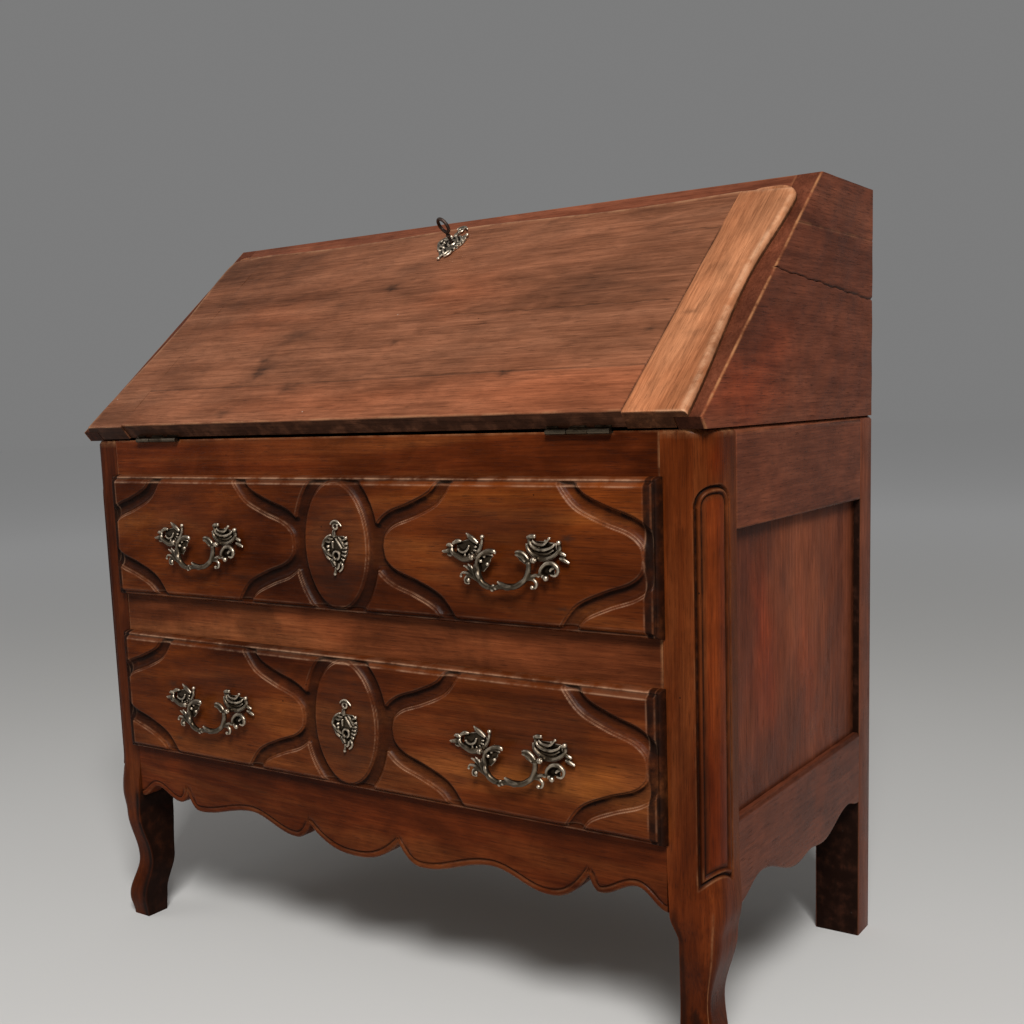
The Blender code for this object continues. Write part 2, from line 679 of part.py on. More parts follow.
def make_drawer_lock(word, slide, front, rail_above, middle, roof):
    """Lock let into the back of the drawer front, with a bolt that rises into the rail above."""
    half = DRAWER_LOCK_WIDTH / 2
    face = DRAWER_INSIDE - DRAWER_LOCK_DEPTH
    bottom = roof - DRAWER_LOCK_HEIGHT
    case = box(word + "_drawer_lock", (ESCUTCHEON_X - half, face, bottom),
               (ESCUTCHEON_X + half, DRAWER_INSIDE, roof), "iron", slide)
    pocket = box(word + "_lock_pocket", (ESCUTCHEON_X - half - GAP, face - GAP, bottom - GAP),
                 (ESCUTCHEON_X + half + GAP, DRAWER_INSIDE + RAIL_THICKNESS, roof + RAIL_THICKNESS),
                 parent=slide)
    keyhole = cylinder(word + "_keyhole", (ESCUTCHEON_X, (face - DRAWER_PROUD) / 2, middle - KEYHOLE_BELOW),
                       KEYHOLE_RADIUS, DRAWER_PROUD + face + RAIL_THICKNESS, "Y", parent=slide, segments=10)
    cut(front, pocket, keyhole)
    thick = DRAWER_BOLT_DEPTH
    start = face + (DRAWER_LOCK_DEPTH - thick) / 2
    side = DRAWER_BOLT_WIDTH / 2
    bolt = box(word + "_drawer_bolt", (ESCUTCHEON_X - side, start, roof - DRAWER_BOLT_LENGTH),
               (ESCUTCHEON_X + side, start + thick, roof), "brass", slide)
    way = box(word + "_bolt_way", (ESCUTCHEON_X - side - GAP, start - GAP, roof - DRAWER_BOLT_LENGTH - GAP),
              (ESCUTCHEON_X + side + GAP, start + thick + GAP, roof + DRAWER_BOLT_THROW + BOLT_PLAY),
              parent=slide)
    cut(case, way)
    mortise = box(word + "_mortise", (ESCUTCHEON_X - side - BOLT_PLAY, start - BOLT_PLAY, roof - BOLT_PLAY),
                  (ESCUTCHEON_X + side + BOLT_PLAY, start + thick + BOLT_PLAY,
                   roof + DRAWER_BOLT_THROW + BOLT_PLAY), parent=slide)
    cut(rail_above, mortise)
    return bolt


def make_handle(word, place, height, slide):
    """Two crescent mounts with a lug each, and a bail whose pins turn in the lugs."""
    pivot = add_empty("handle_" + word + "_pivot", (place, -DRAWER_PROUD - PIVOT_OUT, height), parent=slide)
    back = PIVOT_OUT - GAP
    for name, sign in SIDES:
        shape = shifted(mirrored(crescent_outline(), sign), sign * LUG_X, 0)
        mount = outline("handle_" + word + "_mount_" + name, shape, "XZ", back - MOUNT_THICKNESS, back,
                        "brass", pivot)
        round_end = [(LUG_RADIUS * math.cos(a), LUG_RADIUS * math.sin(a))
                     for a in [math.pi * (0.5 + step / 8) for step in range(9)]]
        root = back - MOUNT_THICKNESS / 2
        lug = outline("handle_" + word + "_lug_" + name, round_end + [(root, -LUG_RADIUS), (root, LUG_RADIUS)],
                      "YZ", sign * LUG_X - LUG_WIDTH / 2, sign * LUG_X + LUG_WIDTH / 2, parent=pivot,
                      hole=circle(PIN_RADIUS + PIN_PLAY))
        join(mount, lug)
    make_bail("handle_" + word + "_bail", pivot)


def make_bail(name, pivot):
    """A drooping bar with a curl over each end, a leaf outside each end and the two pins it turns on."""
    half = [Vector((BAIL_HALF * math.sin(a), 0, -BAIL_DROP * math.cos(a) ** 0.8))
            for a in [math.pi / 2 * step / BAIL_STEPS for step in range(BAIL_STEPS)]]
    turns = [math.pi * 0.6 * step / 5 for step in range(6)]
    half += [Vector((BAIL_HALF + BAIL_CURL * (math.cos(a) - 1), 0, BAIL_CURL * math.sin(a))) for a in turns]
    taper = [BAIL_RADIUS] * BAIL_STEPS
    taper += [BAIL_RADIUS + (CURL_RADIUS - BAIL_RADIUS) * step / 5 for step in range(6)]
    line = [Vector((-point.x, 0, point.z)) for point in reversed(half[1:])] + half
    bail = tube(name, line, taper[:0:-1] + taper, "brass", pivot)
    for word, side in SIDES:
        ends = sorted((side * BAIL_HALF, side * (LUG_X + PIN_REST)))
        pin = cylinder(name + "_pin_" + word, ((ends[0] + ends[1]) / 2, 0, 0), PIN_RADIUS,
                       ends[1] - ends[0], "X", parent=pivot, segments=10)
        leaf = shifted(ellipse(LEAF_HALF, LEAF_HIGH / 2), side * LEAF_OUT, -LEAF_DROP)
        leaf = outline(name + "_leaf_" + word, leaf, "XZ", -BAIL_LEAF / 2, BAIL_LEAF / 2, parent=pivot)
        join(bail, pin, leaf)


# Desk
def make_desk():
    tip_cut = (NOSE.z - CASE_HEIGHT - GAP) / math.cos(SLOPE)
    low_front = NOSE - OUTWARD * tip_cut
    section = [(low_front.y, CASE_HEIGHT + GAP), (NOSE.y, NOSE.z), (TOP_FRONT, OVERALL_HEIGHT),
               (BACK, OVERALL_HEIGHT), (BACK, CASE_HEIGHT + GAP)]
    for word, side in SIDES:
        faces = sorted((side * DESK_INNER, side * HALF))
        outline("desk_side_" + word, section, "YZ", *faces, "walnut")
    bevel = TOP_FRONT - TOP_THICKNESS / math.tan(SLOPE)
    board = [(bevel, TOP_BOTTOM), (TOP_FRONT, OVERALL_HEIGHT), (BACK, OVERALL_HEIGHT), (BACK, TOP_BOTTOM)]
    span = DESK_INNER - GAP
    return outline("desk_top", board, "YZ", -span, span, "walnut")


def make_writing_bed():
    """Board between the case sides, with a tongue to the top rail in front and one to the back panel."""
    lap = FRONT + RAIL_THICKNESS - BED_SEAT + GAP
    near = OPEN_HALF - GAP
    wide = HALF - SIDE_FRAME - GAP
    far = REAR_INNER - GAP
    low = CASE_HEIGHT - BED_THICKNESS
    bed = box("writing_bed", (-wide, STILE_REAR + GAP, low), (wide, REAR_FRONT - GAP, CASE_HEIGHT), "walnut")
    front_tongue = box("bed_front_tongue", (-near, lap, low), (near, STILE_REAR + BED_THICKNESS, CASE_HEIGHT))
    rear_tongue = box("bed_rear_tongue", (-far, REAR_FRONT - BED_THICKNESS, low),
                      (far, BACK_INNER - GAP, CASE_HEIGHT))
    join(bed, front_tongue, rear_tongue)
    return bed


def make_pigeonholes():
    """Nest of pigeonholes against the back, with a bay for a small drawer at each end of its bottom row.

    It ends under the desk top, or where its front comes up to the closed fall if that is lower.
    """
    half = DESK_INNER - NEST_SIDE_CLEARANCE
    rear = BACK_INNER - GAP
    front = rear - NEST_DEPTH
    bottom = CASE_HEIGHT + GAP
    under_fall = HINGE.z + (front - NEST_FALL_CLEARANCE - HINGE.y) * math.tan(SLOPE)
    top = min(TOP_BOTTOM - NEST_HEADROOM, under_fall)
    nest = box("pigeonhole_nest", (-half, front, bottom), (half, rear, top), "oak")
    deep = rear - NEST_BACK
    bay_low = bottom + NEST_BOARD
    bay_high = bay_low + NEST_DRAWER_BAY
    bay_inner = half - NEST_BOARD - NEST_DRAWER_WIDTH
    mouth = front - NEST_BOARD
    for word, side in SIDES:
        ends = sorted((side * bay_inner, side * (half - NEST_BOARD)))
        cut(nest, box("bay_" + word, (ends[0], mouth, bay_low), (ends[1], deep, bay_high)))
        make_inner_drawer(word, ends, front, deep, bay_low, bay_high)
    niche = bay_inner - NEST_BOARD
    cut(nest, box("niche", (-niche, mouth, bay_low), (niche, deep, bay_high)))
    shelf = bay_high + NEST_BOARD
    pitch = 2 * (half - NEST_BOARD / 2) / NEST_PIGEONHOLES
    for i in range(NEST_PIGEONHOLES):
        left = -half + NEST_BOARD + i * pitch
        cut(nest, box("pigeonhole_%d" % (i + 1), (left, mouth, shelf),
                      (left + pitch - NEST_BOARD, deep, top - NEST_BOARD)))


def make_inner_drawer(word, ends, front, deep, low, high):
    """Small open box with a finger notch in the top edge of its front."""
    near = Vector((ends[0] + INNER_CLEARANCE, front, low + INNER_CLEARANCE))
    far = Vector((ends[1] - INNER_CLEARANCE, deep - INNER_CLEARANCE, high - INNER_CLEARANCE))
    drawer = box("inner_drawer_" + word, near, far, "walnut")
    wall = Vector((INNER_WALL, INNER_WALL, INNER_WALL))
    hollow_high = far - Vector((INNER_WALL, INNER_WALL, -INNER_WALL))
    hollow = box("inner_hollow_" + word, near + wall, hollow_high)
    notch = cylinder("inner_notch_" + word, ((near.x + far.x) / 2, near.y, far.z), NOTCH_RADIUS,
                     4 * INNER_WALL, "Y", segments=16)
    cut(drawer, hollow, notch)


# Fall front
def fall_top(place):
    return FALL_TOP + FALL_TOP_WAVE * math.cos(2 * math.pi * place / FALL_TOP_WAVE_LENGTH)


def fall_side(share):
    """Half width of the fall at a share of its height: widest at both ends, drawn in between."""
    if share < FALL_SIDE_NARROW:
        return FALL_HALF_WIDTH + FALL_SIDE_WAVE * math.cos(math.pi * share / FALL_SIDE_NARROW)
    rest = (1 - share) / (1 - FALL_SIDE_NARROW)
    return FALL_HALF_WIDTH + FALL_SIDE_WAVE * math.cos(math.pi * rest)


def make_fall():
    hinge = add_empty("fall_hinge", HINGE, (SLOPE, 0, 0))
    low = FALL_BACKSET + BOARD_SHORT
    span = CLEAT_INNER - GAP
    places = [span - 2 * span * step / (2 * OUTLINE_STEPS) for step in range(2 * OUTLINE_STEPS + 1)]
    shape = [(-span, low), (span, low)] + [(place, fall_top(place)) for place in places]
    board = outline("fall_board", shape, "XY", 0, FALL_FACE, "walnut", hinge)
    past = FALL_TOP + FALL_CORNER
    over_top = box("rebate_top", (-HALF, FALL_INNER_TOP, -FALL_SEAT), (HALF, past, FALL_SEAT), parent=hinge)
    cut(board, over_top)
    for word, side in SIDES:
        corner_y = fall_top(FALL_HALF_WIDTH) - FALL_CORNER
        edge = []
        for step in range(OUTLINE_STEPS + 1):
            share = step / OUTLINE_STEPS
            edge.append((fall_side(share), FALL_BACKSET + (corner_y - FALL_BACKSET) * share))
        centre_x = fall_side(1.0) - FALL_CORNER
        edge += [(centre_x + FALL_CORNER * math.cos(a), corner_y + FALL_CORNER * math.sin(a))
                 for a in [math.pi / 2 * step / CORNER_STEPS for step in range(1, CORNER_STEPS + 1)]]
        shape = [(CLEAT_INNER, FALL_BACKSET)] + edge + [(CLEAT_INNER, fall_top(CLEAT_INNER))]
        cleat = outline("fall_cleat_" + word, mirrored(shape, side), "XY", 0, FALL_FACE, "walnut", hinge)
        sides = sorted((side * FALL_INNER_HALF, side * (HALF + FALL_CORNER)))
        over_side = box("rebate_" + word, (sides[0], -FALL_CORNER, -FALL_SEAT), (sides[1], past, FALL_SEAT),
                        parent=hinge)
        cut(cleat, over_top, over_side)
    return hinge, board


def leaf_outline(radius, root, near, far):
    """Section of a knuckle and the neck that leads into its leaf, round the hinge axis."""
    start = math.asin(-near / radius)
    sweep = 2 * math.pi - start - math.asin(far / radius)
    turns = [math.asin(far / radius) + sweep * step / 12 for step in range(13)]
    return [(root, near), (root, far)] + [(radius * math.cos(a), radius * math.sin(a)) for a in turns]


def make_hinges(hinge, rail, bed, board):
    third = HINGE_LENGTH / 3
    for word, side in SIDES:
        middle = side * HINGE_X
        name = "hinge_leaf_fixed_" + word
        half = HINGE_LENGTH / 2
        leaf_top = -GAP
        leaf_low = leaf_top - LEAF_THICKNESS
        axis = add_empty("hinge_axis_" + word, (middle, HINGE.y, HINGE.z))
        plate = box(name, (-half, HINGE_FORWARD, leaf_low), (half, HINGE_FORWARD + LEAF_DEPTH, leaf_top),
                    "brass", axis)
        section = leaf_outline(KNUCKLE_RADIUS, HINGE_FORWARD + LEAF_THICKNESS, leaf_low + GAP, leaf_top - GAP)
        for sign, end in ((-1, "a"), (1, "b")):
            ends = sorted((sign * (third / 2 + HINGE_PLAY), sign * (half - GAP)))
            join(plate, outline(name + "_knuckle_" + end, section, "YZ", *ends, parent=axis))
        pin = cylinder(name + "_pin", (0, 0, 0), HINGE_PIN_RADIUS, HINGE_LENGTH - LEAF_THICKNESS, "X",
                       parent=axis, segments=12)
        join(plate, pin)
        recess = box(name + "_recess", (-half - GAP, -HINGE_FORWARD, leaf_low - GAP),
                     (half + GAP, HINGE_FORWARD + LEAF_DEPTH + GAP, LEAF_THICKNESS), parent=axis)
        cut(rail, recess)
        cut(bed, recess)

        name = "hinge_leaf_fall_" + word
        seat = FALL_BACKSET + BOARD_SHORT
        leaf = box(name, (middle - half, seat, 0), (middle + half, seat + LEAF_THICKNESS, LEAF_WIDTH),
                   "brass", hinge)
        neck = LEAF_THICKNESS
        section = leaf_outline(KNUCKLE_RADIUS, seat + LEAF_THICKNESS / 2, -neck / 2, neck / 2)
        knuckle = outline(name + "_knuckle", section, "YZ", middle - third / 2, middle + third / 2,
                          parent=hinge, hole=circle(HINGE_PIN_RADIUS + HINGE_PLAY))
        join(leaf, knuckle)
        cut(board, box(name + "_recess", (middle - half - GAP, -seat, -LEAF_WIDTH),
                       (middle + half + GAP, seat + LEAF_THICKNESS + GAP, LEAF_WIDTH + GAP), parent=hinge))


def make_fall_lock(hinge, board, top):
    """Lock let into the inner face of the fall; its bolt runs up the slope into the desk top."""
    half = LOCK_WIDTH / 2
    low = FALL_INNER_TOP - LOCK_HEIGHT
    lock = box("fall_lock", (LOCK_X - half, low, GAP), (LOCK_X + half, FALL_INNER_TOP, LOCK_DEPTH), "iron",
               hinge)
    pocket = box("fall_lock_pocket", (LOCK_X - half - GAP, low - GAP, -LOCK_DEPTH),
                 (LOCK_X + half + GAP, FALL_INNER_TOP + LOCK_HEIGHT, LOCK_DEPTH + GAP), parent=hinge)
    side = BOLT_WIDTH / 2
    tail = FALL_INNER_TOP - BOLT_LENGTH
    box("fall_lock_bolt", (LOCK_X - side, tail, BOLT_SET),
        (LOCK_X + side, FALL_INNER_TOP, BOLT_SET + BOLT_DEPTH), "brass", hinge)
    way = box("fall_bolt_way", (LOCK_X - side - GAP, tail - GAP, -LOCK_DEPTH),
              (LOCK_X + side + GAP, FALL_INNER_TOP + LOCK_HEIGHT, BOLT_SET + BOLT_DEPTH + GAP), parent=hinge)
    bit_depth = KEY_BIT_TOP + GAP
    well = cylinder("key_well", (LOCK_X, KEY_Y, bit_depth / 2), KEY_BIT_REACH + KEY_HOLE_PLAY, bit_depth, "Z",
                    parent=hinge, segments=20)
    shank_hole = cylinder("key_hole", (LOCK_X, KEY_Y, FALL_FACE / 2), KEY_RADIUS + KEY_HOLE_PLAY, 2 * FALL_FACE,
                          "Z", parent=hinge, segments=12)
    cut(lock, way, well, shank_hole)
    cut(board, pocket, shank_hole)

    plate = outline("fall_escutcheon", pear_outline(FALL_PEAR_SHARE), "XY", FALL_FACE + GAP,
                    FALL_FACE + GAP + ESCUTCHEON_THICKNESS, "brass", hinge, circle(KEY_RADIUS + KEY_HOLE_PLAY))
    plate.location = (LOCK_X, KEY_Y, 0)
    make_key(hinge)

    run = box("fall_bolt_run", (LOCK_X - side - BOLT_PLAY, tail, BOLT_SET - BOLT_PLAY),
              (LOCK_X + side + BOLT_PLAY, FALL_INNER_TOP + BOLT_THROW + BOLT_PLAY,
               BOLT_SET + BOLT_DEPTH + BOLT_PLAY), parent=hinge)
    depth = BOLT_SET + BOLT_DEPTH / 2
    reach = (TOP_BOTTOM - HINGE.z - depth * math.cos(SLOPE)) / math.sin(SLOPE)
    middle = HINGE.y + reach * math.cos(SLOPE) - depth * math.sin(SLOPE)
    keeper = box("fall_lock_keeper", (LOCK_X - KEEPER_LENGTH / 2, middle - KEEPER_WIDTH / 2, TOP_BOTTOM),
                 (LOCK_X + KEEPER_LENGTH / 2, middle + KEEPER_WIDTH / 2, TOP_BOTTOM + KEEPER_THICKNESS),
                 "brass")
    seat = box("keeper_seat", (LOCK_X - KEEPER_LENGTH / 2 - GAP, middle - KEEPER_WIDTH / 2 - GAP,
                               TOP_BOTTOM - TOP_THICKNESS),
               (LOCK_X + KEEPER_LENGTH / 2 + GAP, middle + KEEPER_WIDTH / 2 + GAP,
                TOP_BOTTOM + KEEPER_THICKNESS + GAP))
    cut(keeper, run)
    cut(top, seat, run)


def make_key(hinge):
    """Key with a shank, a bit inside the lock and a ring bow; it turns on its shank."""
    shank_end = FALL_FACE + KEY_OUT
    turn = add_empty("key_turn", (LOCK_X, KEY_Y, 0), parent=hinge)
    key = cylinder("key", (0, 0, (SHANK_START + shank_end) / 2), KEY_RADIUS, shank_end - SHANK_START, "Z",
                   "iron", turn, segments=12)
    bit = box("key_bit", (-KEY_BIT_THICKNESS / 2, -KEY_BIT_REACH, SHANK_START + GAP),
              (KEY_BIT_THICKNESS / 2, 0, KEY_BIT_TOP), parent=turn)
    bpy.ops.mesh.primitive_torus_add(major_radius=BOW_RADIUS, minor_radius=BOW_WIRE, major_segments=20,
                                     minor_segments=8)
    bow = bpy.context.object
    bow.name = "key_bow"
    bpy.context.collection.objects.unlink(bow)
    CUTTERS.objects.link(bow)
    bow.hide_render = True
    bow.display_type = "WIRE"
    bow.parent = turn
    bow.rotation_euler = (math.pi / 2, 0, BOW_TURN)
    bow.location = (0, 0, shank_end + BOW_RADIUS - BOW_WIRE / 2)
    join(key, bit, bow)


def main():
    make_front_stiles()
    make_rear_stiles()
    top_rail, middle_rail = make_front_rails()
    make_sides()
    make_back()
    make_drawer_boards()
    make_drawer("upper", UPPER_Z, top_rail)
    make_drawer("lower", LOWER_Z, middle_rail)
    desk_top = make_desk()
    bed = make_writing_bed()
    make_pigeonholes()
    hinge, board = make_fall()
    make_hinges(hinge, top_rail, bed, board)
    make_fall_lock(hinge, board, desk_top)


main()
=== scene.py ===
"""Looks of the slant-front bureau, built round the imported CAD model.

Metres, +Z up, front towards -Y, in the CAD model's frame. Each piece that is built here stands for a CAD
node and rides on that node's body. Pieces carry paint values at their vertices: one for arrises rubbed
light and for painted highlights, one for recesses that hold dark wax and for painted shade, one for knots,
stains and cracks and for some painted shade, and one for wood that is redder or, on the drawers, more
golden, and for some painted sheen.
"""

import math
from collections import namedtuple

import bmesh
import bpy
import numpy as np
from mathutils import Matrix, Vector
from mathutils.kdtree import KDTree


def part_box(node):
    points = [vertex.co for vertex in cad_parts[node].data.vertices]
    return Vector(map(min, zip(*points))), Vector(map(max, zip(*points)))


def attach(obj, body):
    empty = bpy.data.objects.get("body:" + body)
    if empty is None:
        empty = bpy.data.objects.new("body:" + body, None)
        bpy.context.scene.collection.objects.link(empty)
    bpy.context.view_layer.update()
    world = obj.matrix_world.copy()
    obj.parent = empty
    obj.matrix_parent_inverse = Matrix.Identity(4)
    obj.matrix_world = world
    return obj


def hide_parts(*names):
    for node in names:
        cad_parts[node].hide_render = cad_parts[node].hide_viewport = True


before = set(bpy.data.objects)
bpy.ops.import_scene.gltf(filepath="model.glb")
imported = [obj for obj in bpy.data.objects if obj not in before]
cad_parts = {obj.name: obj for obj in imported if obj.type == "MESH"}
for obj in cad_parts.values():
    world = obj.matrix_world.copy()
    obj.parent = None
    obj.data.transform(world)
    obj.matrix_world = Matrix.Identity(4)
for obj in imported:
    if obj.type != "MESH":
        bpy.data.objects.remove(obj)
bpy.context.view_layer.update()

# Sizes shared with the CAD model
HALF = 0.5
OPEN_HALF = 0.4445
CASE_HEIGHT = 0.735
TOP_CHAMFER = 0.005
STILE_DEPTH = 0.070
CORNER_WIDTH = 0.025
CORNER_DEPTH = 0.040
GAP = 0.0003
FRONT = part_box("middle_front_rail")[0].y
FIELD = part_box("upper_drawer_front")[0].y
LOWER_Z = (0.281, 0.4525)
UPPER_Z = (0.513, 0.683)
ROWS = (("upper", UPPER_Z), ("lower", LOWER_Z))
SLOPE = math.radians(39.74)
HINGE = Vector((0, FRONT - 0.0057, CASE_HEIGHT))
SIDES = (("left", -1), ("right", 1))
MM = 0.001

VALUES = ("wear_and_highlight", "hollow", "stain_and_shade", "warm_and_sheen")
Shape = namedtuple("Shape", "points faces values")


# Meshes
def stacked(*columns):
    """Points, or corners of faces, from columns that are broadcast to one shape."""
    return np.stack(np.broadcast_arrays(*columns), axis=-1)


def linked(name, data):
    """A new object in the scene."""
    item = bpy.data.objects.new(name, data)
    bpy.context.scene.collection.objects.link(item)
    return item


def volume(points, faces):
    """Six times the volume inside a closed skin, negative if its faces are turned inwards."""
    total = 0.0
    for size in {len(face) for face in faces}:
        rings = points[np.array([face for face in faces if len(face) == size])]
        for k in range(1, size - 1):
            total += np.einsum("ij,ij->", rings[:, 0], np.cross(rings[:, k], rings[:, k + 1]))
    return total


def shape(points, faces, values=None):
    """A closed skin with its faces turned outwards."""
    points = np.asarray(points, float).reshape(-1, 3)
    if volume(points, faces) < 0:
        faces = [tuple(reversed(face)) for face in faces]
    given = values or {}
    zero = np.zeros(len(points))
    return Shape(points, faces, {name: np.ravel(given.get(name, zero)) for name in VALUES})


def merged(shapes):
    faces, start = [], 0
    for part in shapes:
        faces += [tuple(start + i for i in face) for face in part.faces]
        start += len(part.points)
    values = {name: np.concatenate([part.values[name] for part in shapes]) for name in VALUES}
    return Shape(np.vstack([part.points for part in shapes]), faces, values)


def moved(part, place):
    return Shape(part.points + np.asarray(place, float), part.faces, part.values)


def piece(name, body, part, material, nodes, sharp=40):
    """A finished object on its body, standing for the named CAD nodes."""
    mesh = bpy.data.meshes.new(name)
    mesh.from_pydata(part.points.tolist(), [], part.faces)
    for value in VALUES:
        layer = mesh.attributes.new(value, "FLOAT", "POINT")
        layer.data.foreach_set("value", np.clip(part.values[value], 0, 1).astype(np.float32))
    return finished(mesh, name, body, material, nodes, sharp)


def finished(mesh, name, body, material, nodes, sharp):
    mesh.shade_smooth()
    mesh.set_sharp_from_angle(angle=math.radians(sharp))
    mesh.materials.append(material)
    item = linked(name, mesh)
    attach(item, body)
    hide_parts(*nodes)
    return item


def quads(*corners):
    """Four-sided faces from arrays of their corners' indices."""
    return [tuple(face) for face in stacked(*corners).reshape(-1, 4).tolist()]


def grid_faces(rows, columns):
    index = np.arange(rows * columns).reshape(rows, columns)
    return quads(index[:-1, :-1], index[1:, :-1], index[1:, 1:], index[:-1, 1:])


def rim_of(rows, columns):
    """Indices round the border of a grid, once round."""
    index = np.arange(rows * columns).reshape(rows, columns)
    loop = [index[:-1, 0], index[-1, :-1], index[:0:-1, -1], index[0, :0:-1]]
    return np.concatenate(loop)


WALL_EDGE = 0.0020         # width of the wall strip next to a painted front edge
WALL_SHARE = 0.4           # and the most of the wall that it takes


def relief(front, back_rim, values, wall_shade=0.0):
    """A grid of front points closed by walls and one flat back face; back_rim gives the back's rim points."""
    rows, columns = front.shape[:2]
    count = rows * columns
    points = front.reshape(-1, 3)
    rim = rim_of(rows, columns)
    last = len(rim)
    drop = back_rim - points[rim]
    depth = np.maximum(np.linalg.norm(drop, axis=1, keepdims=True), 1e-6)
    strip = points[rim] + drop * np.minimum(WALL_EDGE / depth, WALL_SHARE)
    rings = [rim, count + np.arange(last), count + last + np.arange(last)]
    faces = grid_faces(rows, columns)
    for near, far in zip(rings, rings[1:]):
        faces += quads(np.roll(near, -1), near, far, np.roll(far, -1))
    faces.append(tuple(rings[-1].tolist()))
    front_values = {"hollow": np.zeros(count), **values}
    full = {name: np.concatenate([np.ravel(value), np.zeros(2 * last)])
            for name, value in front_values.items()}
    # painted shade on the walls
    full["hollow"][count:] = np.tile(np.broadcast_to(wall_shade, last), 2)
    return shape(np.vstack([points, strip, back_rim]), faces, full)


def block(low, high):
    """A plain inner block of a piece that shows only its back."""
    x, y, z = zip(low, high)
    points = [(x[i], y[j], z[k]) for i in (0, 1) for j in (0, 1) for k in (0, 1)]
    faces = [(0, 1, 3, 2), (4, 6, 7, 5), (0, 4, 5, 1), (2, 3, 7, 6), (0, 2, 6, 4), (1, 5, 7, 3)]
    return shape(points, faces)


def skin(rings, values=None, ends=True):
    """A closed skin over rings of equal length, capped at both ends or run round into itself."""
    rings = np.asarray(rings, float)
    rows, columns = rings.shape[:2]
    index = np.arange(rows * columns).reshape(rows, columns)
    near, far = (index[:-1], index[1:]) if ends else (index, np.roll(index, -1, 0))
    faces = quads(near, np.roll(near, -1, 1), np.roll(far, -1, 1), far)
    if ends:
        faces += [tuple(reversed(index[0].tolist())), tuple(index[-1].tolist())]
    return shape(rings, faces, values)


def nearest(places, line):
    """Distance and place of the nearest of a line's points to each place in a plane."""
    tree = KDTree(len(line))
    for i, (u, v) in enumerate(line):
        tree.insert((u, v, 0), i)
    tree.balance()
    found = [tree.find((u, v, 0)) for u, v in places.reshape(-1, 2).tolist()]
    gap = np.array([hit[2] for hit in found]).reshape(places.shape[:-1])
    where = line[[hit[1] for hit in found]].reshape(places.shape)
    return gap, where


def distance(places, line):
    return nearest(places, line)[0]


def steps(value, low, high):
    """Smooth step from 0 at low to 1 at high."""
    share = np.clip((value - low) / (high - low), 0, 1)
    return share * share * (3 - 2 * share)


def bell(value, width):
    return np.exp(-(value / width) ** 2)


def rounded(gap, radius):
    """Drop of a rounded edge at a distance from it."""
    inward = np.clip(gap / radius, 0, 1)
    return radius * (1 - np.sqrt(1 - (1 - inward) ** 2))


def profile(value, stations):
    """Heights of a moulding by distance, straight between its stations."""
    return np.interp(value, [s[0] for s in stations], [s[1] for s in stations])


def smooth_line(stations, count):
    """A soft line through a few stations, with count points on each stretch."""
    p = np.asarray(stations, float)
    p = np.vstack([2 * p[0] - p[1], p, 2 * p[-1] - p[-2]])
    line = []
    for a, b, c, d in zip(p, p[1:], p[2:], p[3:]):
        for share in np.arange(count) / count:
            line.append(0.5 * (2 * b + (c - a) * share + (2 * a - 5 * b + 4 * c - d) * share ** 2
                               + (3 * b - a - 3 * c + d) * share ** 3))
    line.append(p[-2])
    return np.array(line)


def run_of(line):
    """Length along a line at each of its points."""
    return np.concatenate([[0], np.cumsum(np.linalg.norm(np.diff(line, axis=0), axis=1))])


def resampled(line, count):
    """The same line with evenly spaced points."""
    run = run_of(line)
    where = np.linspace(0, run[-1], count)
    return stacked(*[np.interp(where, run, column) for column in line.T])


def outward(line):
    """Unit normals of a closed line in a plane."""
    along = np.roll(line, -1, 0) - np.roll(line, 1, 0)
    normal = stacked(along[:, 1], -along[:, 0])
    return normal / np.maximum(np.linalg.norm(normal, axis=1, keepdims=True), 1e-9)


def ripple(a, b, seed):
    """Slow unevenness of a hand-planed face, from -1 to 1."""
    broad = np.sin(a * 9.1 + seed) * np.cos(b * 13.7 + 2.1 * seed)
    slanting = np.sin(a * 23.0 - b * 17.0 + 3.3 * seed)
    return (broad + slanting) / 2


SPOT_LOBES = 5             # bumps round the border of a soft spot
SPOT_UNEVEN = 0.35         # and their strength


def spread_over(u, v, spots):
    """Sum of soft spots over a face; each has a place, two half widths and a strength."""
    total = np.zeros(np.shape(u))
    for at_u, at_v, half_u, half_v, strength in spots:
        across, up = (u - at_u) / half_u, (v - at_v) / half_v
        uneven = 1 + SPOT_UNEVEN * np.sin(SPOT_LOBES * np.arctan2(up, across) + 90 * at_u)
        total = total + strength * np.exp(-(across ** 2 + up ** 2) * uneven)
    return total


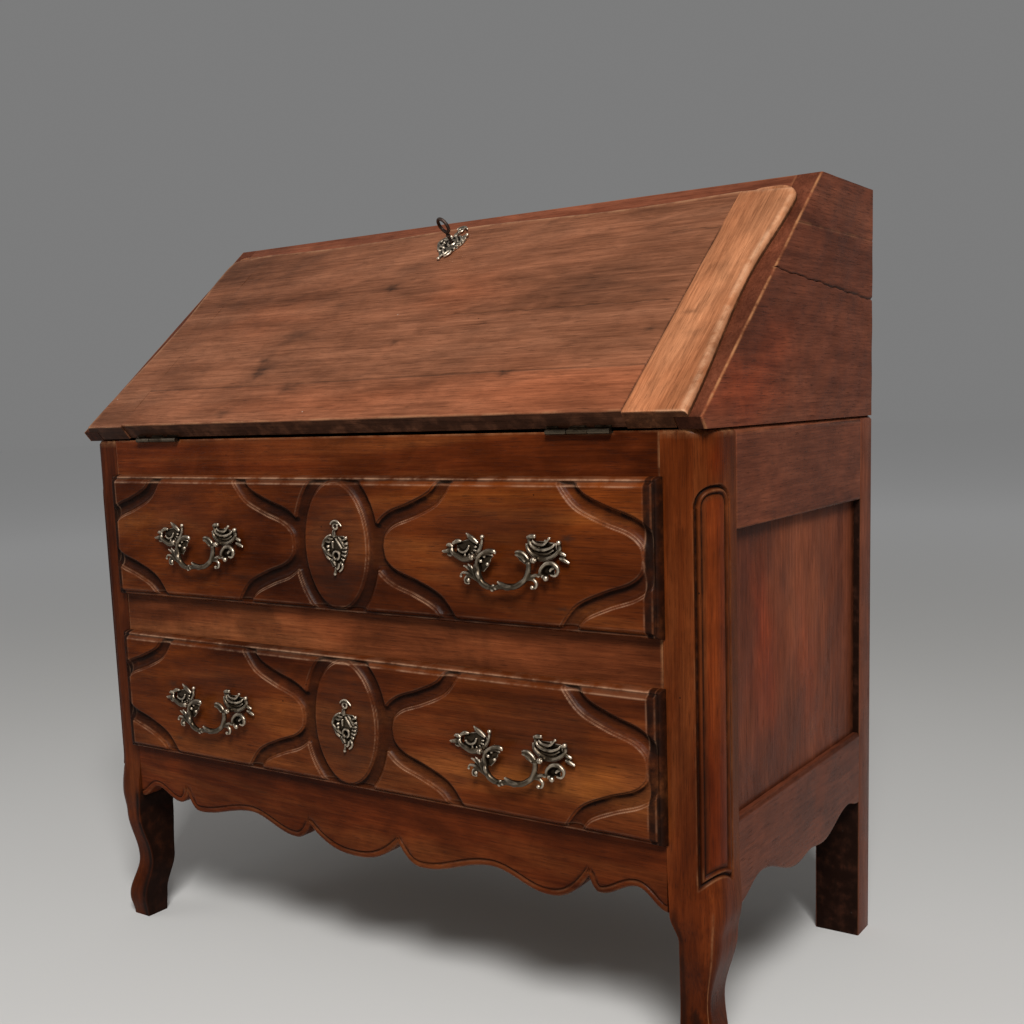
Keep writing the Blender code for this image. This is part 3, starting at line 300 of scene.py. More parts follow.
# Materials
class Paint:
    """A procedural material under construction."""

    def __init__(self, name):
        self.material = bpy.data.materials.new(name)
        self.material.use_nodes = True
        self.tree = self.material.node_tree
        self.shader = self.tree.nodes["Principled BSDF"]

    def put(self, socket, value):
        if isinstance(value, bpy.types.NodeSocket):
            self.tree.links.new(value, socket)
        else:
            socket.default_value = value

    def add(self, kind, inputs, **settings):
        made = self.tree.nodes.new("ShaderNode" + kind)
        for key, value in settings.items():
            setattr(made, key, value)
        for key, value in inputs.items():
            self.put(made.inputs[key], value)
        return made

    def math(self, operation, a, b):
        return self.add("Math", {0: a, 1: b}, operation=operation).outputs[0]

    def times(self, a, b):
        return self.math("MULTIPLY", a, b)

    def mix(self, share, a, b, blend="MIX"):
        made = self.add("Mix", {0: share, 6: a, 7: b}, data_type="RGBA", blend_type=blend)
        return made.outputs[2]

    def tint(self, colour, by):
        return self.mix(1.0, colour, by, "MULTIPLY")

    def span(self, value, low, high, to_low=0.0, to_high=1.0):
        inputs = {"Value": value, "From Min": low, "From Max": high, "To Min": to_low, "To Max": to_high}
        return self.add("MapRange", inputs, interpolation_type="SMOOTHSTEP").outputs[0]

    def noise(self, vector, scale, detail=3.0, rough=0.55, bend=0.0):
        inputs = {"Vector": vector, "Scale": scale, "Detail": detail, "Roughness": rough, "Distortion": bend}
        return self.add("TexNoise", inputs).outputs["Fac"]

    def mapped(self, vector, scale=(1, 1, 1), turn=(0, 0, 0), shift=(0, 0, 0)):
        inputs = {"Vector": vector, "Scale": scale, "Rotation": turn, "Location": shift}
        return self.add("Mapping", inputs).outputs[0]

    def place(self):
        return self.add("TexCoord", {}).outputs["Object"]

    def value_of(self, name):
        return self.add("Attribute", {}, attribute_name=name).outputs["Fac"]

    def ramp(self, value, stops):
        made = self.add("ValToRGB", {"Fac": value})
        marks = made.color_ramp.elements
        while len(marks) < len(stops):
            marks.new(0.5)
        for mark, (where, colour) in zip(marks, stops):
            mark.position = where
            mark.color = (*colour, 1)
        return made.outputs[0]

    def finish(self, colour, rough, height, strength, deep):
        """The material, with its colour, roughness and fine relief connected."""
        bump = self.add("Bump", {"Height": height, "Strength": strength, "Distance": deep})
        for name, value in (("Base Color", colour), ("Roughness", rough), ("Normal", bump.outputs[0])):
            self.put(self.shader.inputs[name], value)
        return self.material


GRAIN_X = (1, 0, 0)
GRAIN_Y = (0, 1, 0)
GRAIN_Z = (0, 0, 1)
# dark wax of pores and specks, also painted shade; stains, also some painted shade; pale specks; rubbed
# arrises, also painted highlights
WAX_AND_SHADE = (0.009, 0.003, 0.0015, 1)
STAIN_AND_SHADE = (0.022, 0.012, 0.008, 1)
PALE_SPECK = (0.5, 0.42, 0.35, 1)
RUBBED_AND_LIT = (0.30, 0.13, 0.055)
REDDER = (1.70, 1.15, 0.85)
GOLDEN = (1.75, 1.80, 1.10)
STREAKS = ((0.34, (0.64, 0.58, 0.55)), (0.60, (1.10, 1.10, 1.10)))
THREADS = ((0.36, (0.66, 0.60, 0.57)), (0.58, (1.09, 1.09, 1.09)))


def wood(name, along, tones, seed, tilt=0.0, broad=8.0, rubbed_and_lit=RUBBED_AND_LIT, gloss=0.29, sheen=0.05, pores=0.45,
         cloud=0.2, warmer=REDDER):
    """Old polished wood with its grain along an axis.

    Broad figure, fibre streaks, pores, clouds and specks; over them stains, dark wax in hollows, painted
    shade, rubbed arrises and painted highlights.
    """
    p = Paint(name)
    place = p.mapped(p.place(), turn=(-tilt, 0, 0), shift=(seed, 1.7 * seed, 0.6 * seed))

    def grain(with_grain, across, detail, rough=0.55, bend=0.0):
        scale = tuple(with_grain if axis else across for axis in along)
        return p.noise(p.mapped(place, scale), 1.0, detail, rough, bend)

    figure = grain(broad * 0.14, broad, 6.0, 0.62, 0.9)
    streak = grain(7, 190, 4.0, 0.7)
    thread = grain(16, 480, 3.0, 0.6)
    fibre = grain(40, 900, 2.0)
    blotch = p.noise(place, 5.5, 5.0, 0.6, 0.4)
    dark, mid, light = tones
    colour = p.ramp(figure, ((0.30, dark), (0.50, mid), (0.70, light)))
    colour = p.mix(0.60, colour, p.ramp(streak, STREAKS), "MULTIPLY")
    colour = p.mix(0.55, colour, p.ramp(thread, THREADS), "MULTIPLY")
    # redder or golden wood, and painted sheen
    colour = p.mix(p.value_of("warm_and_sheen"), colour, p.tint(colour, (*warmer, 1)))
    pore = p.span(fibre, 0.57, 0.70)
    colour = p.mix(p.times(pore, pores), colour, WAX_AND_SHADE)
    colour = p.tint(colour, p.span(blotch, 0.36, 0.66, 1 - cloud, 1 + 0.7 * cloud))
    mottle = grain(14, 34, 4.0, 0.65, 0.5)
    colour = p.tint(colour, p.span(mottle, 0.32, 0.66, 0.82, 1.12))
    specks = p.add("TexVoronoi", {"Vector": place, "Scale": 46.0}, feature="F1")
    near = p.span(specks.outputs["Distance"], 0.035, 0.06, 1.0, 0.0)
    chosen = p.add("SeparateColor", {"Color": specks.outputs["Color"]})
    dark_speck = p.times(near, p.span(chosen.outputs[0], 0.88, 0.92))
    pale_speck = p.times(near, p.span(chosen.outputs[1], 0.968, 0.975))
    colour = p.mix(dark_speck, colour, WAX_AND_SHADE)
    colour = p.mix(p.times(pale_speck, 0.7), colour, PALE_SPECK)
    # stains, dark wax and painted shade darken in uneven patches; rubbed arrises and painted highlights
    # lighten in patches
    uneven_dark = p.span(p.noise(place, 60.0, 3.0), 0.2, 0.6, 0.6, 1.0)
    stain_and_shade = p.times(p.value_of("stain_and_shade"), p.span(streak, 0.3, 0.6, 1.0, 0.7))
    colour = p.mix(p.times(stain_and_shade, uneven_dark), colour, STAIN_AND_SHADE)
    hollow = p.value_of("hollow")
    colour = p.mix(p.times(hollow, uneven_dark), colour, WAX_AND_SHADE)
    patchy = p.span(p.noise(place, 30.0, 4.0, 0.65), 0.38, 0.64, 0.1, 1.0)
    colour = p.mix(p.times(p.value_of("wear_and_highlight"), patchy), colour, (*rubbed_and_lit, 1))
    rough = p.math("ADD", p.span(blotch, 0.3, 0.7, gloss - 0.08, gloss + 0.10), p.times(pore, 0.15))
    rough = p.math("ADD", rough, p.times(hollow, 0.2))
    p.shader.inputs["Specular IOR Level"].default_value = sheen
    height = p.math("SUBTRACT", p.times(streak, 0.7), p.times(pore, 0.6))
    return p.finish(colour, rough, height, 0.35, 0.0006)


def metal(name, base, bright, dark, gloss, seed):
    """Old cast metal: dark in its hollows with patina and painted shade, bright where hands rub it and where
    highlights are painted, with a spotty patina.
    """
    p = Paint(name)
    place = p.mapped(p.place(), shift=(seed, seed, seed))
    spots = p.noise(place, 130.0, 4.0, 0.65)
    cloud = p.noise(place, 35.0, 3.0)
    colour = p.mix(p.span(cloud, 0.35, 0.65), (*base, 1), tuple(0.7 * c for c in base) + (1,))
    colour = p.mix(p.span(spots, 0.58, 0.72, 0.0, 0.6), colour, (*dark, 1))
    hollow = p.value_of("hollow")
    colour = p.mix(hollow, colour, (*dark, 1))
    colour = p.mix(p.value_of("wear_and_highlight"), colour, (*bright, 1))
    p.shader.inputs["Metallic"].default_value = 1.0
    rough = p.math("ADD", p.span(spots, 0.35, 0.7, gloss, gloss + 0.22), p.times(hollow, 0.25))
    return p.finish(colour, rough, spots, 0.25, 0.0004)


# Colours of the old walnut, dark, middle and light
RED = ((0.022, 0.0036, 0.0006), (0.086, 0.0175, 0.0035), (0.172, 0.050, 0.013))
STILE = ((0.034, 0.005, 0.0006), (0.098, 0.019, 0.0035), (0.165, 0.042, 0.010))
RAIL = ((0.026, 0.004, 0.0006), (0.090, 0.0165, 0.003), (0.170, 0.046, 0.011))
MIDDLE = ((0.040, 0.008, 0.002), (0.140, 0.036, 0.011), (0.250, 0.082, 0.028))
BROWN = ((0.072, 0.020, 0.010), (0.146, 0.041, 0.019), (0.210, 0.067, 0.033))
PANEL = ((0.086, 0.021, 0.009), (0.166, 0.043, 0.017), (0.240, 0.072, 0.031))
FALL = ((0.104, 0.038, 0.018), (0.192, 0.073, 0.036), (0.264, 0.107, 0.055))
CLEAT = ((0.190, 0.070, 0.029), (0.290, 0.108, 0.046), (0.385, 0.158, 0.072))
OAK = ((0.110, 0.062, 0.030), (0.210, 0.125, 0.064), (0.300, 0.195, 0.110))

rail_wood = wood("walnut_rail", GRAIN_X, RAIL, 1.3, cloud=0.3)
middle_wood = wood("walnut_middle_rail", GRAIN_X, MIDDLE, 1.9, cloud=0.35)
stile_wood = wood("walnut_stile", GRAIN_Z, STILE, 2.1)
top_wood = wood("walnut_top", GRAIN_X, BROWN, 3.7)
side_wood = wood("walnut_side", GRAIN_Y, BROWN, 4.4)
post_wood = wood("walnut_post", GRAIN_Z, BROWN, 4.9)
panel_wood = wood("walnut_panel", GRAIN_Z, PANEL, 5.2, broad=5.0, pores=0.3)
drawer_wood = wood("walnut_drawer", GRAIN_X, RED, 6.9, rubbed_and_lit=(0.40, 0.22, 0.13), warmer=GOLDEN)
fall_wood = wood("walnut_fall", GRAIN_X, FALL, 7.7, tilt=SLOPE, broad=9.0, rubbed_and_lit=(0.40, 0.20, 0.10),
                 cloud=0.14)
cleat_wood = wood("walnut_cleat", GRAIN_Y, CLEAT, 8.5, tilt=SLOPE, broad=11.0, rubbed_and_lit=(0.58, 0.33, 0.19),
                  pores=0.35, cloud=0.12)
oak_x = wood("oak_boards", GRAIN_X, OAK, 9.1, gloss=0.60, sheen=0.3)
oak_y = wood("oak_runners", GRAIN_Y, OAK, 9.9, gloss=0.60, sheen=0.3)
brass = metal("antique_brass", (0.080, 0.058, 0.037), (0.66, 0.55, 0.42), (0.007, 0.004, 0.002), 0.30, 1.1)
iron = metal("old_iron", (0.050, 0.032, 0.026), (0.16, 0.11, 0.09), (0.014, 0.008, 0.006), 0.42, 2.2)


# Boards that keep the CAD shape, with softened and rubbed edges
EDGE_SOFT = 0.0011
EDGE_RUB = 0.0040
LEAST_EDGE = 12            # shorter edges than this many radii stay sharp
LEAST_TURN = math.radians(25)                # and so do edges that turn less


def softened(name, body, material, soft=EDGE_SOFT, rub=0.7):
    """A copy of a CAD node with its long edges rounded and marked as rubbed."""
    bm = bmesh.new()
    bm.from_mesh(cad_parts[name].data)
    bmesh.ops.remove_doubles(bm, verts=bm.verts, dist=1e-6)
    bmesh.ops.dissolve_limit(bm, angle_limit=0.002, verts=bm.verts, edges=bm.edges)
    wear_and_highlight = bm.verts.layers.float.new("wear_and_highlight")
    long_edges = [e for e in bm.edges if e.calc_length() > LEAST_EDGE * soft and len(e.link_faces) == 2
                  and e.calc_face_angle(0) > LEAST_TURN]
    made = bmesh.ops.bevel(bm, geom=long_edges, offset=soft, segments=2, profile=0.6, affect="EDGES",
                           clamp_overlap=True)
    rubbed = set(made["faces"])
    for face in rubbed:
        for vert in face.verts:
            vert[wear_and_highlight] = rub
    flat = [f for f in bm.faces if f not in rubbed and f.calc_area() / f.calc_perimeter() > EDGE_RUB]
    above = [f for f in flat if f.normal.z > -0.9]       # the undersides hold the bolts' mortises
    bmesh.ops.inset_individual(bm, faces=above, thickness=EDGE_RUB, use_even_offset=False)
    for face in flat:
        for vert in face.verts:
            vert[wear_and_highlight] = 0.0
    low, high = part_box(name)
    for vert in bm.verts:
        vert.co = [min(max(c, a), b) for c, a, b in zip(vert.co, low, high)]
    bmesh.ops.recalc_face_normals(bm, faces=bm.faces)
    mesh = bpy.data.meshes.new(name + "_worn")
    bm.to_mesh(mesh)
    bm.free()
    return finished(mesh, name + "_worn", body, material, [name], 35)


def make_boards():
    softened("top_front_rail", "case", rail_wood, rub=0.45)
    softened("middle_front_rail", "case", middle_wood, rub=0.45)
    softened("desk_top", "case", top_wood, rub=0.25)
    softened("writing_bed", "case", top_wood)
    for word, _ in SIDES:
        softened("side_top_rail_" + word, "case", side_wood, soft=0.0018, rub=0.10)
        softened("inner_drawer_" + word, "inner_drawer_" + word, top_wood)
        softened("hinge_leaf_fixed_" + word, "case", brass, soft=0.0003, rub=0.05)
    for name in ("lower_back_panel", "upper_back_panel", "pigeonhole_nest", "bottom_board", "dust_board"):
        softened(name, "case", oak_x)
    for word, _ in ROWS:
        softened(word + "_drawer_frame", word + "_drawer", oak_y)
        softened(word + "_drawer_bottom", word + "_drawer", oak_x)


# Rear stiles, painted black in shade on their front faces up to the side rails
REAR_STILE_WIDTH = 0.063
REAR_ROUND = 0.0018
REAR_STEP = 0.0005         # height over which the painted shade ends
ROUND_POINTS = 5           # on each of the four corners
FRONT_SHADE = (1.0, 0.8, 0.3, 0, 0)           # painted shade round the outer front corner
CORNER_RUB = (0, 0.05, 0.12, 0.05, 0)        # round both outer corners


def make_rear_stiles():
    front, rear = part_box("rear_stile_right")[0].y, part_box("rear_stile_right")[1].y
    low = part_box("side_apron_right")[1].z - REAR_STEP
    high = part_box("side_top_rail_right")[0].z + REAR_STEP
    heights = (0, 0.1, low - REAR_STEP, low, high, high + REAR_STEP, CASE_HEIGHT - TOP_CHAMFER, CASE_HEIGHT)
    quarter = np.linspace(0, np.pi / 2, ROUND_POINTS)
    rings, painted_shade, wear_and_highlight = [], [], []
    for z in heights:
        outer = HALF - max(0.0, z - CASE_HEIGHT + TOP_CHAMFER) - REAR_ROUND
        inner = HALF - REAR_STILE_WIDTH + REAR_ROUND
        near, far = front + REAR_ROUND, rear - REAR_ROUND
        for k, (x, y) in enumerate(((outer, near), (outer, far), (inner, far), (inner, near))):
            turn = quarter + (k - 1) * np.pi / 2
            rings.append(stacked(x + REAR_ROUND * np.cos(turn), y + REAR_ROUND * np.sin(turn), z))
        within = z <= high
        painted_shade += [within * share for share in FRONT_SHADE + (0,) * (3 * ROUND_POINTS - 1) + (1.0,)]
        wear_and_highlight += CORNER_RUB * 2 + (0,) * (2 * ROUND_POINTS)
    rings = np.reshape(rings, (len(heights), 4 * ROUND_POINTS, 3))
    for word, side in SIDES:
        part = skin(rings * (side, 1, 1), {"hollow": painted_shade, "stain_and_shade": painted_shade, "wear_and_highlight": wear_and_highlight})
        piece("rear_stile_worn_" + word, "case", part, post_wood, ["rear_stile_" + word], 50)


# Side panels, with a lighter flame in their grain
FLAME = ((-0.076, 0.500, 0.024, 0.070, 0.95), (-0.100, 0.420, 0.034, 0.050, 0.55),
         (0.040, 0.420, 0.030, 0.070, 0.45))
FLAME_LEAN = 0.25
PANEL_GRID = 0.008
PANEL_UNEVEN = 0.0004


def make_side_panels():
    for word, side in SIDES:
        low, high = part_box("side_panel_" + word)
        ys = np.linspace(low.y, high.y, int((high.y - low.y) / PANEL_GRID))
        zs = np.linspace(low.z, high.z, int((high.z - low.z) / PANEL_GRID))
        y, z = np.meshgrid(ys, zs, indexing="ij")
        face, rear = (high.x, low.x) if side > 0 else (low.x, high.x)
        rim = np.minimum(np.minimum(y - low.y, high.y - y), np.minimum(z - low.z, high.z - z))
        x = face - side * PANEL_UNEVEN * (1 + ripple(4 * y, 3 * z, side)) * steps(rim, 0, 0.03)
        front = stacked(x, y, z)
        back = front.reshape(-1, 3)[rim_of(*y.shape)] * (0, 1, 1) + (rear, 0, 0)
        leaning = y + FLAME_LEAN * (z - FLAME[0][1])
        # painted shade round the panel in its frame, most by the rear stile and under the top rail
        painted_shade = 0.95 * bell(high.y - y, 0.013) + 0.60 * bell(high.z - z, 0.010) + 0.4 * bell(y - low.y, 0.006)
        painted_shade += 0.5 * bell(z - low.z, 0.006)
        part = relief(front, back, {"warm_and_sheen": spread_over(leaning, z, FLAME), "hollow": painted_shade})
        piece("side_panel_worn_" + word, "case", part, panel_wood, ["side_panel_" + word])


# Slanted desk sides: a glued board with a seam and, on the right, a long shrinkage crack
FALL_BACK = 0.014
FALL_LOW = 0.0035
SIDE_SEAM = 0.9675
SIDE_CRACK = (-0.050, 0.9100, 0.280, 0.8900)     # ends of the crack along the side, place and height of each
SIDE_WARM = ((-0.140, 0.775, 0.090, 0.035, 0.8), (-0.060, 0.830, 0.060, 0.030, 0.35))
SIDE_ROUND = 0.0028
SIDE_COLUMNS = 60
SIDE_UNEVEN = 0.0003
CRACK_DEEP = 0.0020
SEAM_DEEP = 0.0005


def slanted_front(z):
    """Place of the desk side's front edge at a height: undercut below its nose, then up the slope."""
    nose_y = HINGE.y - FALL_BACK * math.sin(SLOPE) + FALL_LOW * math.cos(SLOPE)
    nose_z = HINGE.z + FALL_BACK * math.cos(SLOPE) + FALL_LOW * math.sin(SLOPE)
    below = nose_y + (nose_z - z) * math.tan(SLOPE)
    above = nose_y + (z - nose_z) / math.tan(SLOPE)
    return np.where(z < nose_z, below, above), nose_z


def make_desk_sides():
    low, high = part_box("desk_side_right")
    nose_z = float(slanted_front(0.0)[1])
    fine, coarse = 0.0008, 0.006             # steps in height, fine at the crack and the seam
    zs = np.concatenate([np.linspace(low.z, nose_z, 5)[:-1], np.arange(nose_z, 0.884, coarse),
                         np.arange(0.884, 0.916, fine), np.arange(0.918, 0.962, coarse),
                         np.arange(0.964, 0.971, fine), np.arange(0.974, 1.029, coarse),
                         np.linspace(1.030, high.z, 5)])
    near = np.arange(0, 0.012, 0.0009)
    shares = np.concatenate([np.zeros(len(near)), np.linspace(0, 1, SIDE_COLUMNS)[1:]])
    offsets = np.concatenate([near, np.full(SIDE_COLUMNS - 1, near[-1])])
    edge, _ = slanted_front(zs)
    y = edge[None] + offsets[:, None] + shares[:, None] * (high.y - edge[None] - offsets[:, None])
    z = np.broadcast_to(zs[None], y.shape)
    gap = np.minimum((y - edge[None]) * math.sin(SLOPE), 0.05)
    y0, z0, y1, z1 = SIDE_CRACK
    jag = 0.0007 * np.sin(95 * y) + 0.0005 * np.sin(230 * y + 1)
    off_crack = np.abs(z - (z0 + (z1 - z0) * (y - y0) / (y1 - y0) + jag))
    crack_wide = 0.0006 + 0.0009 * steps(y, y0, y1)
    off_seam = np.abs(z - SIDE_SEAM)
    soft_edge = 0.5 * rounded(gap, SIDE_ROUND)
    for word, side in SIDES:
        crack = bell(off_crack, crack_wide) * (side > 0)
        dip = soft_edge + CRACK_DEEP * crack + SEAM_DEEP * bell(off_seam, 0.0008)
        dip += SIDE_UNEVEN * (1 + ripple(5 * y, 6 * z, side))
        front = stacked(side * (HALF - dip), y, z)
        back = front.reshape(-1, 3)[rim_of(*y.shape)] * (0, 1, 1) + (side * low.x, 0, 0)
        values = {"wear_and_highlight": bell(gap, 0.0016) + 0.35 * bell(off_seam - 0.0010, 0.0009),
                  "stain_and_shade": crack + 0.25 * bell(off_seam, 0.0007), "warm_and_sheen": spread_over(y, z, SIDE_WARM)}
        # painted shade on the walls, deep below the nose and light elsewhere
        painted_shade = np.where(back[:, 2] < nose_z + 0.001, 0.85, 0.25)
        part = relief(front, back, values, painted_shade)
        piece("desk_side_worn_" + word, "case", part, side_wood, ["desk_side_" + word], 50)


# Carved drawer fronts
LIP_HALF = 0.4475
LIP_OVER = 0.003
PROUD = FRONT - FIELD
INSIDE = 0.013
CARVE_STEP = 0.0010
LIP_STEP = 0.0006          # finer grid along the lip
LIP_BAND = 0.0114          # and its width
CHANNEL = 0.0225           # width of the sunk bands
MEDALLION = (-0.0085, 0.0505, 0.0795)        # place across, half width and half height
CARTOUCHE_MIDDLES = (-0.2620, 0.2510)
CARTOUCHE = ((0.066, 0.092), (0.073, 0.078), (0.094, 0.0535), (0.129, 0.037), (0.161, 0.026), (0.176, 0.014),
             (0.1795, 0.0))
SUNK = ((0.0, 0.0), (0.0012, 0.0019), (0.0030, 0.0022), (0.0040, 0.0042), (0.0060, 0.0060), (0.0085, 0.0070),
        (0.0115, 0.0073))
LIP_PROFILE = ((0.0, 0.0015), (0.0006, 0.0060), (0.0018, 0.0098), (0.0032, 0.0116), (0.0042, 0.0118),
               (0.0050, 0.0112), (0.0058, 0.0116), (0.0070, 0.0138), (0.0084, 0.0158), (0.0100, 0.0168),
               (0.0115, 0.0170))
END_DARK = 0.0165          # width of the moulded band at each end, painted dark as shade
END_BEAD = 0.0075          # and the place of the bead in it
KEYHOLE_X = -0.004
KEYHOLE_BELOW = 0.012
KEYHOLE_RADIUS = 0.0030
KEYHOLE_DEEP = 0.008
POCKET_HALF = 0.0303       # pocket of the lock behind the front: half width, height and wood left before it
POCKET_HIGH = 0.0403
POCKET_WOOD = 0.0037
FIELD_UNEVEN = 0.00025
FIELD_MARKS = (
    (0.120, 0.058, 0.010, 0.003, 0.7), (0.337, 0.020, 0.007, 0.004, 0.8),
    (-0.330, 0.010, 0.012, 0.008, 0.4), (0.330, -0.060, 0.006, 0.002, 0.8),
    (-0.180, -0.048, 0.020, 0.006, 0.3), (0.180, -0.010, 0.030, 0.020, 0.2),
    (-0.300, 0.030, 0.070, 0.040, 0.28), (0.235, 0.035, 0.080, 0.022, 0.35),
    (-0.0085, -0.010, 0.050, 0.075, 0.30),
)
FIELD_WARM = (
    (0.330, -0.015, 0.080, 0.045, 0.50), (-0.250, -0.045, 0.090, 0.025, 0.40),
    (-0.360, -0.030, 0.040, 0.025, 0.30), (0.380, 0.060, 0.060, 0.030, 0.60),
    (0.200, 0.070, 0.120, 0.018, 0.65), (-0.370, 0.000, 0.030, 0.030, 0.45),
    (0.130, -0.005, 0.030, 0.050, 0.30), (-0.190, 0.060, 0.080, 0.018, 0.35),
)


def carving_lines():
    """Borders of the raised fields: the medallion and two cartouches."""
    middle, wide, high = MEDALLION
    turn = np.linspace(0, 2 * np.pi, 1500)
    shapes = [stacked(middle + wide * np.cos(turn), high * np.sin(turn))]
    quarter = smooth_line(CARTOUCHE, 26)
    half = np.vstack([quarter, (quarter * (1, -1))[-2::-1]])
    for place in CARTOUCHE_MIDDLES:
        right = half + (place, 0)
        left = half[::-1] * (-1, 1) + (place, 0)
        shapes.append(resampled(np.vstack([right, left, right[:1]]), 3200))
    return shapes


def inside(places, border):
    """Whether each place lies inside a closed border, by crossings."""
    u, v = places[..., 0], places[..., 1]
    found = np.zeros(u.shape, bool)
    coarse = border[::5]
    for (ua, va), (ub, vb) in zip(coarse, np.roll(coarse, -1, 0)):
        if va != vb:
            found ^= ((va > v) != (vb > v)) & (u < (ub - ua) * (v - va) / (vb - va) + ua)
    return found


def channel_edges(shapes):
    """Outer borders of the sunk bands, which run at one width round every raised field."""
    spread = []
    for border in shapes:
        normal = outward(border)
        for sign in (-1, 1):
            out = border + sign * CHANNEL * normal
            clear = np.min([distance(out, other) for other in shapes], axis=0) > CHANNEL * 0.985
            free = ~np.any([inside(out, other) for other in shapes], axis=0)
            spread.append(out[clear & free])
    return spread


def carved(places):
    """Places drawn to the nearest arris, depth of the carving and distance from an arris over a field."""
    shapes = carving_lines()
    raised = np.any([inside(places, border) for border in shapes], axis=0)
    gap = np.min([distance(places, border) for border in shapes], axis=0)
    sunk = ~raised & (gap <= CHANNEL)
    edges, where = nearest(places, np.vstack(shapes + channel_edges(shapes)))
    close = edges < 0.45 * CARVE_STEP
    depth = np.where(sunk & ~close, profile(edges, SUNK), 0.0)
    return np.where(close[..., None], where, places), depth, edges


def fine_lines(low, high):
    """Grid lines over a span, closer together near both ends."""
    count = int(round((high - low - 2 * LIP_BAND) / CARVE_STEP))
    middle = np.linspace(low + LIP_BAND, high - LIP_BAND, count + 1)
    edge = np.arange(0, LIP_BAND - LIP_STEP / 2, LIP_STEP)
    return np.concatenate([low + edge, middle, high - edge[::-1]])


def front_blocks(low, high):
    """Inner thickness of a drawer front, in blocks round the pocket of its lock."""
    tight = OPEN_HALF - 0.0015
    floor, roof = low + 0.0008, high - 0.0015
    left, right, pocket_low = KEYHOLE_X - POCKET_HALF, KEYHOLE_X + POCKET_HALF, roof - POCKET_HIGH
    back, sunk = FRONT + INSIDE, FRONT - 0.0010
    return [block((-tight, sunk, floor), (tight, back, pocket_low)),
            block((-tight, sunk, pocket_low), (left, back, roof)),
            block((right, sunk, pocket_low), (tight, back, roof)),
            block((left, sunk, pocket_low), (right, FRONT + POCKET_WOOD, roof))]


def make_drawer_front(word, opening, seed):
    low, high = opening
    middle = (low + high) / 2
    xs = fine_lines(-LIP_HALF, LIP_HALF)
    zs = fine_lines(low - LIP_OVER, high + LIP_OVER)
    x, z = np.meshgrid(xs, zs, indexing="ij")
    rim = np.minimum(LIP_HALF - np.abs(x), np.minimum(z - zs[0], zs[-1] - z))
    even = stacked(x, z - middle)
    places, depth, edges = carved(even)
    near_rim = steps(rim, 0.0045, 0.0085)
    depth *= near_rim
    # walls facing up, and a little to the right, are painted lit; walls facing down are painted in shade
    falls = 0.9 * np.gradient(depth, zs, axis=1) + 0.4 * np.gradient(depth, xs, axis=0)
    faces_up, faces_down = steps(falls, 0.10, 0.7), steps(-falls, 0.02, 0.7)
    on_top = steps(z - middle, 0.072, 0.078)
    height = np.minimum(profile(rim, LIP_PROFILE), PROUD) - depth
    height += FIELD_UNEVEN * ripple(x * 3, z * 4, seed) * near_rim
    height -= KEYHOLE_DEEP * (np.hypot(x - KEYHOLE_X, z - middle + KEYHOLE_BELOW) < KEYHOLE_RADIUS)
    end_gap = LIP_HALF - np.abs(x)
    # channel floors dark with wax, darker towards the left as painted shade
    hollow = (0.62 - 0.18 * x / LIP_HALF) * steps(depth, 0.0010, 0.0050)
    # painted shade on walls facing down, a dark line by the lit arrises, and the lip's groove
    hollow += 0.85 * faces_down * steps(depth, 0.0002, 0.0015)
    hollow += 0.5 * bell(edges - 0.0017, 0.0007) * faces_up
    hollow += 0.7 * bell(rim - 0.0052, 0.0012)
    # the end bands painted dark as shade, lighter on their bead
    in_field = steps(end_gap, END_DARK - 0.002, END_DARK)
    hollow += 0.95 * (1 - in_field) * (1 - 0.5 * bell(end_gap - END_BEAD, 0.0008))
    # painted highlights on arrises and on walls facing up, with a faint rubbed line on every arris
    wear_and_highlight = bell(edges, 0.0006) * (0.12 + 0.63 * faces_up) + 0.55 * bell(edges - 0.0027, 0.0006) * faces_up
    wear_and_highlight *= near_rim * in_field
    # the lip's two rubbed lines and its top face, brighter along the top as painted highlight
    on_lip = (0.25 + 0.40 * on_top) * bell(rim - 0.0036, 0.0009)
    on_lip += (0.12 + 0.38 * on_top) * bell(rim - 0.0105, 0.0008)
    wear_and_highlight += (on_lip + 0.08 * on_top * steps(-rim, -0.0120, -0.0095)) * in_field
    wear_and_highlight += 0.30 * bell(end_gap - END_DARK, 0.0008) + 0.22 * bell(end_gap - END_BEAD, 0.0006)
    settled = steps(rim, 0.006, 0.010)[..., None]
    flat = even * (1 - settled) + places * settled
    u, v = flat[..., 0], flat[..., 1]
    front = stacked(u, FRONT - height, v + middle)
    rim_points = front.reshape(-1, 3)[rim_of(*x.shape)].copy()
    rim_points[:, 1] = FRONT - GAP
    turned = 1 if word == "upper" else -1
    oval = steps(1 - ((u - MEDALLION[0]) / MEDALLION[1]) ** 2 - (v / MEDALLION[2]) ** 2, 0.0, 0.3)
    stain_and_shade = spread_over(turned * u, v, FIELD_MARKS) + 0.22 * oval
    # redder and golden patches, and the top lip more golden as painted light
    warm_and_sheen = spread_over(turned * u, v, FIELD_WARM) + 0.45 * on_top * steps(-rim, -0.0130, -0.0100)
    # walls under the lip painted in shade
    under_lip = rim_points[:, 2] < zs[-1] - 0.001
    values = {"wear_and_highlight": wear_and_highlight, "hollow": hollow, "stain_and_shade": stain_and_shade, "warm_and_sheen": warm_and_sheen}
    face = relief(front, rim_points, values, 0.8 * under_lip)
    whole = merged([face] + front_blocks(low, high))
    piece(word + "_drawer_carved_front", word + "_drawer", whole, drawer_wood,
          [word + "_drawer_front"], 60)


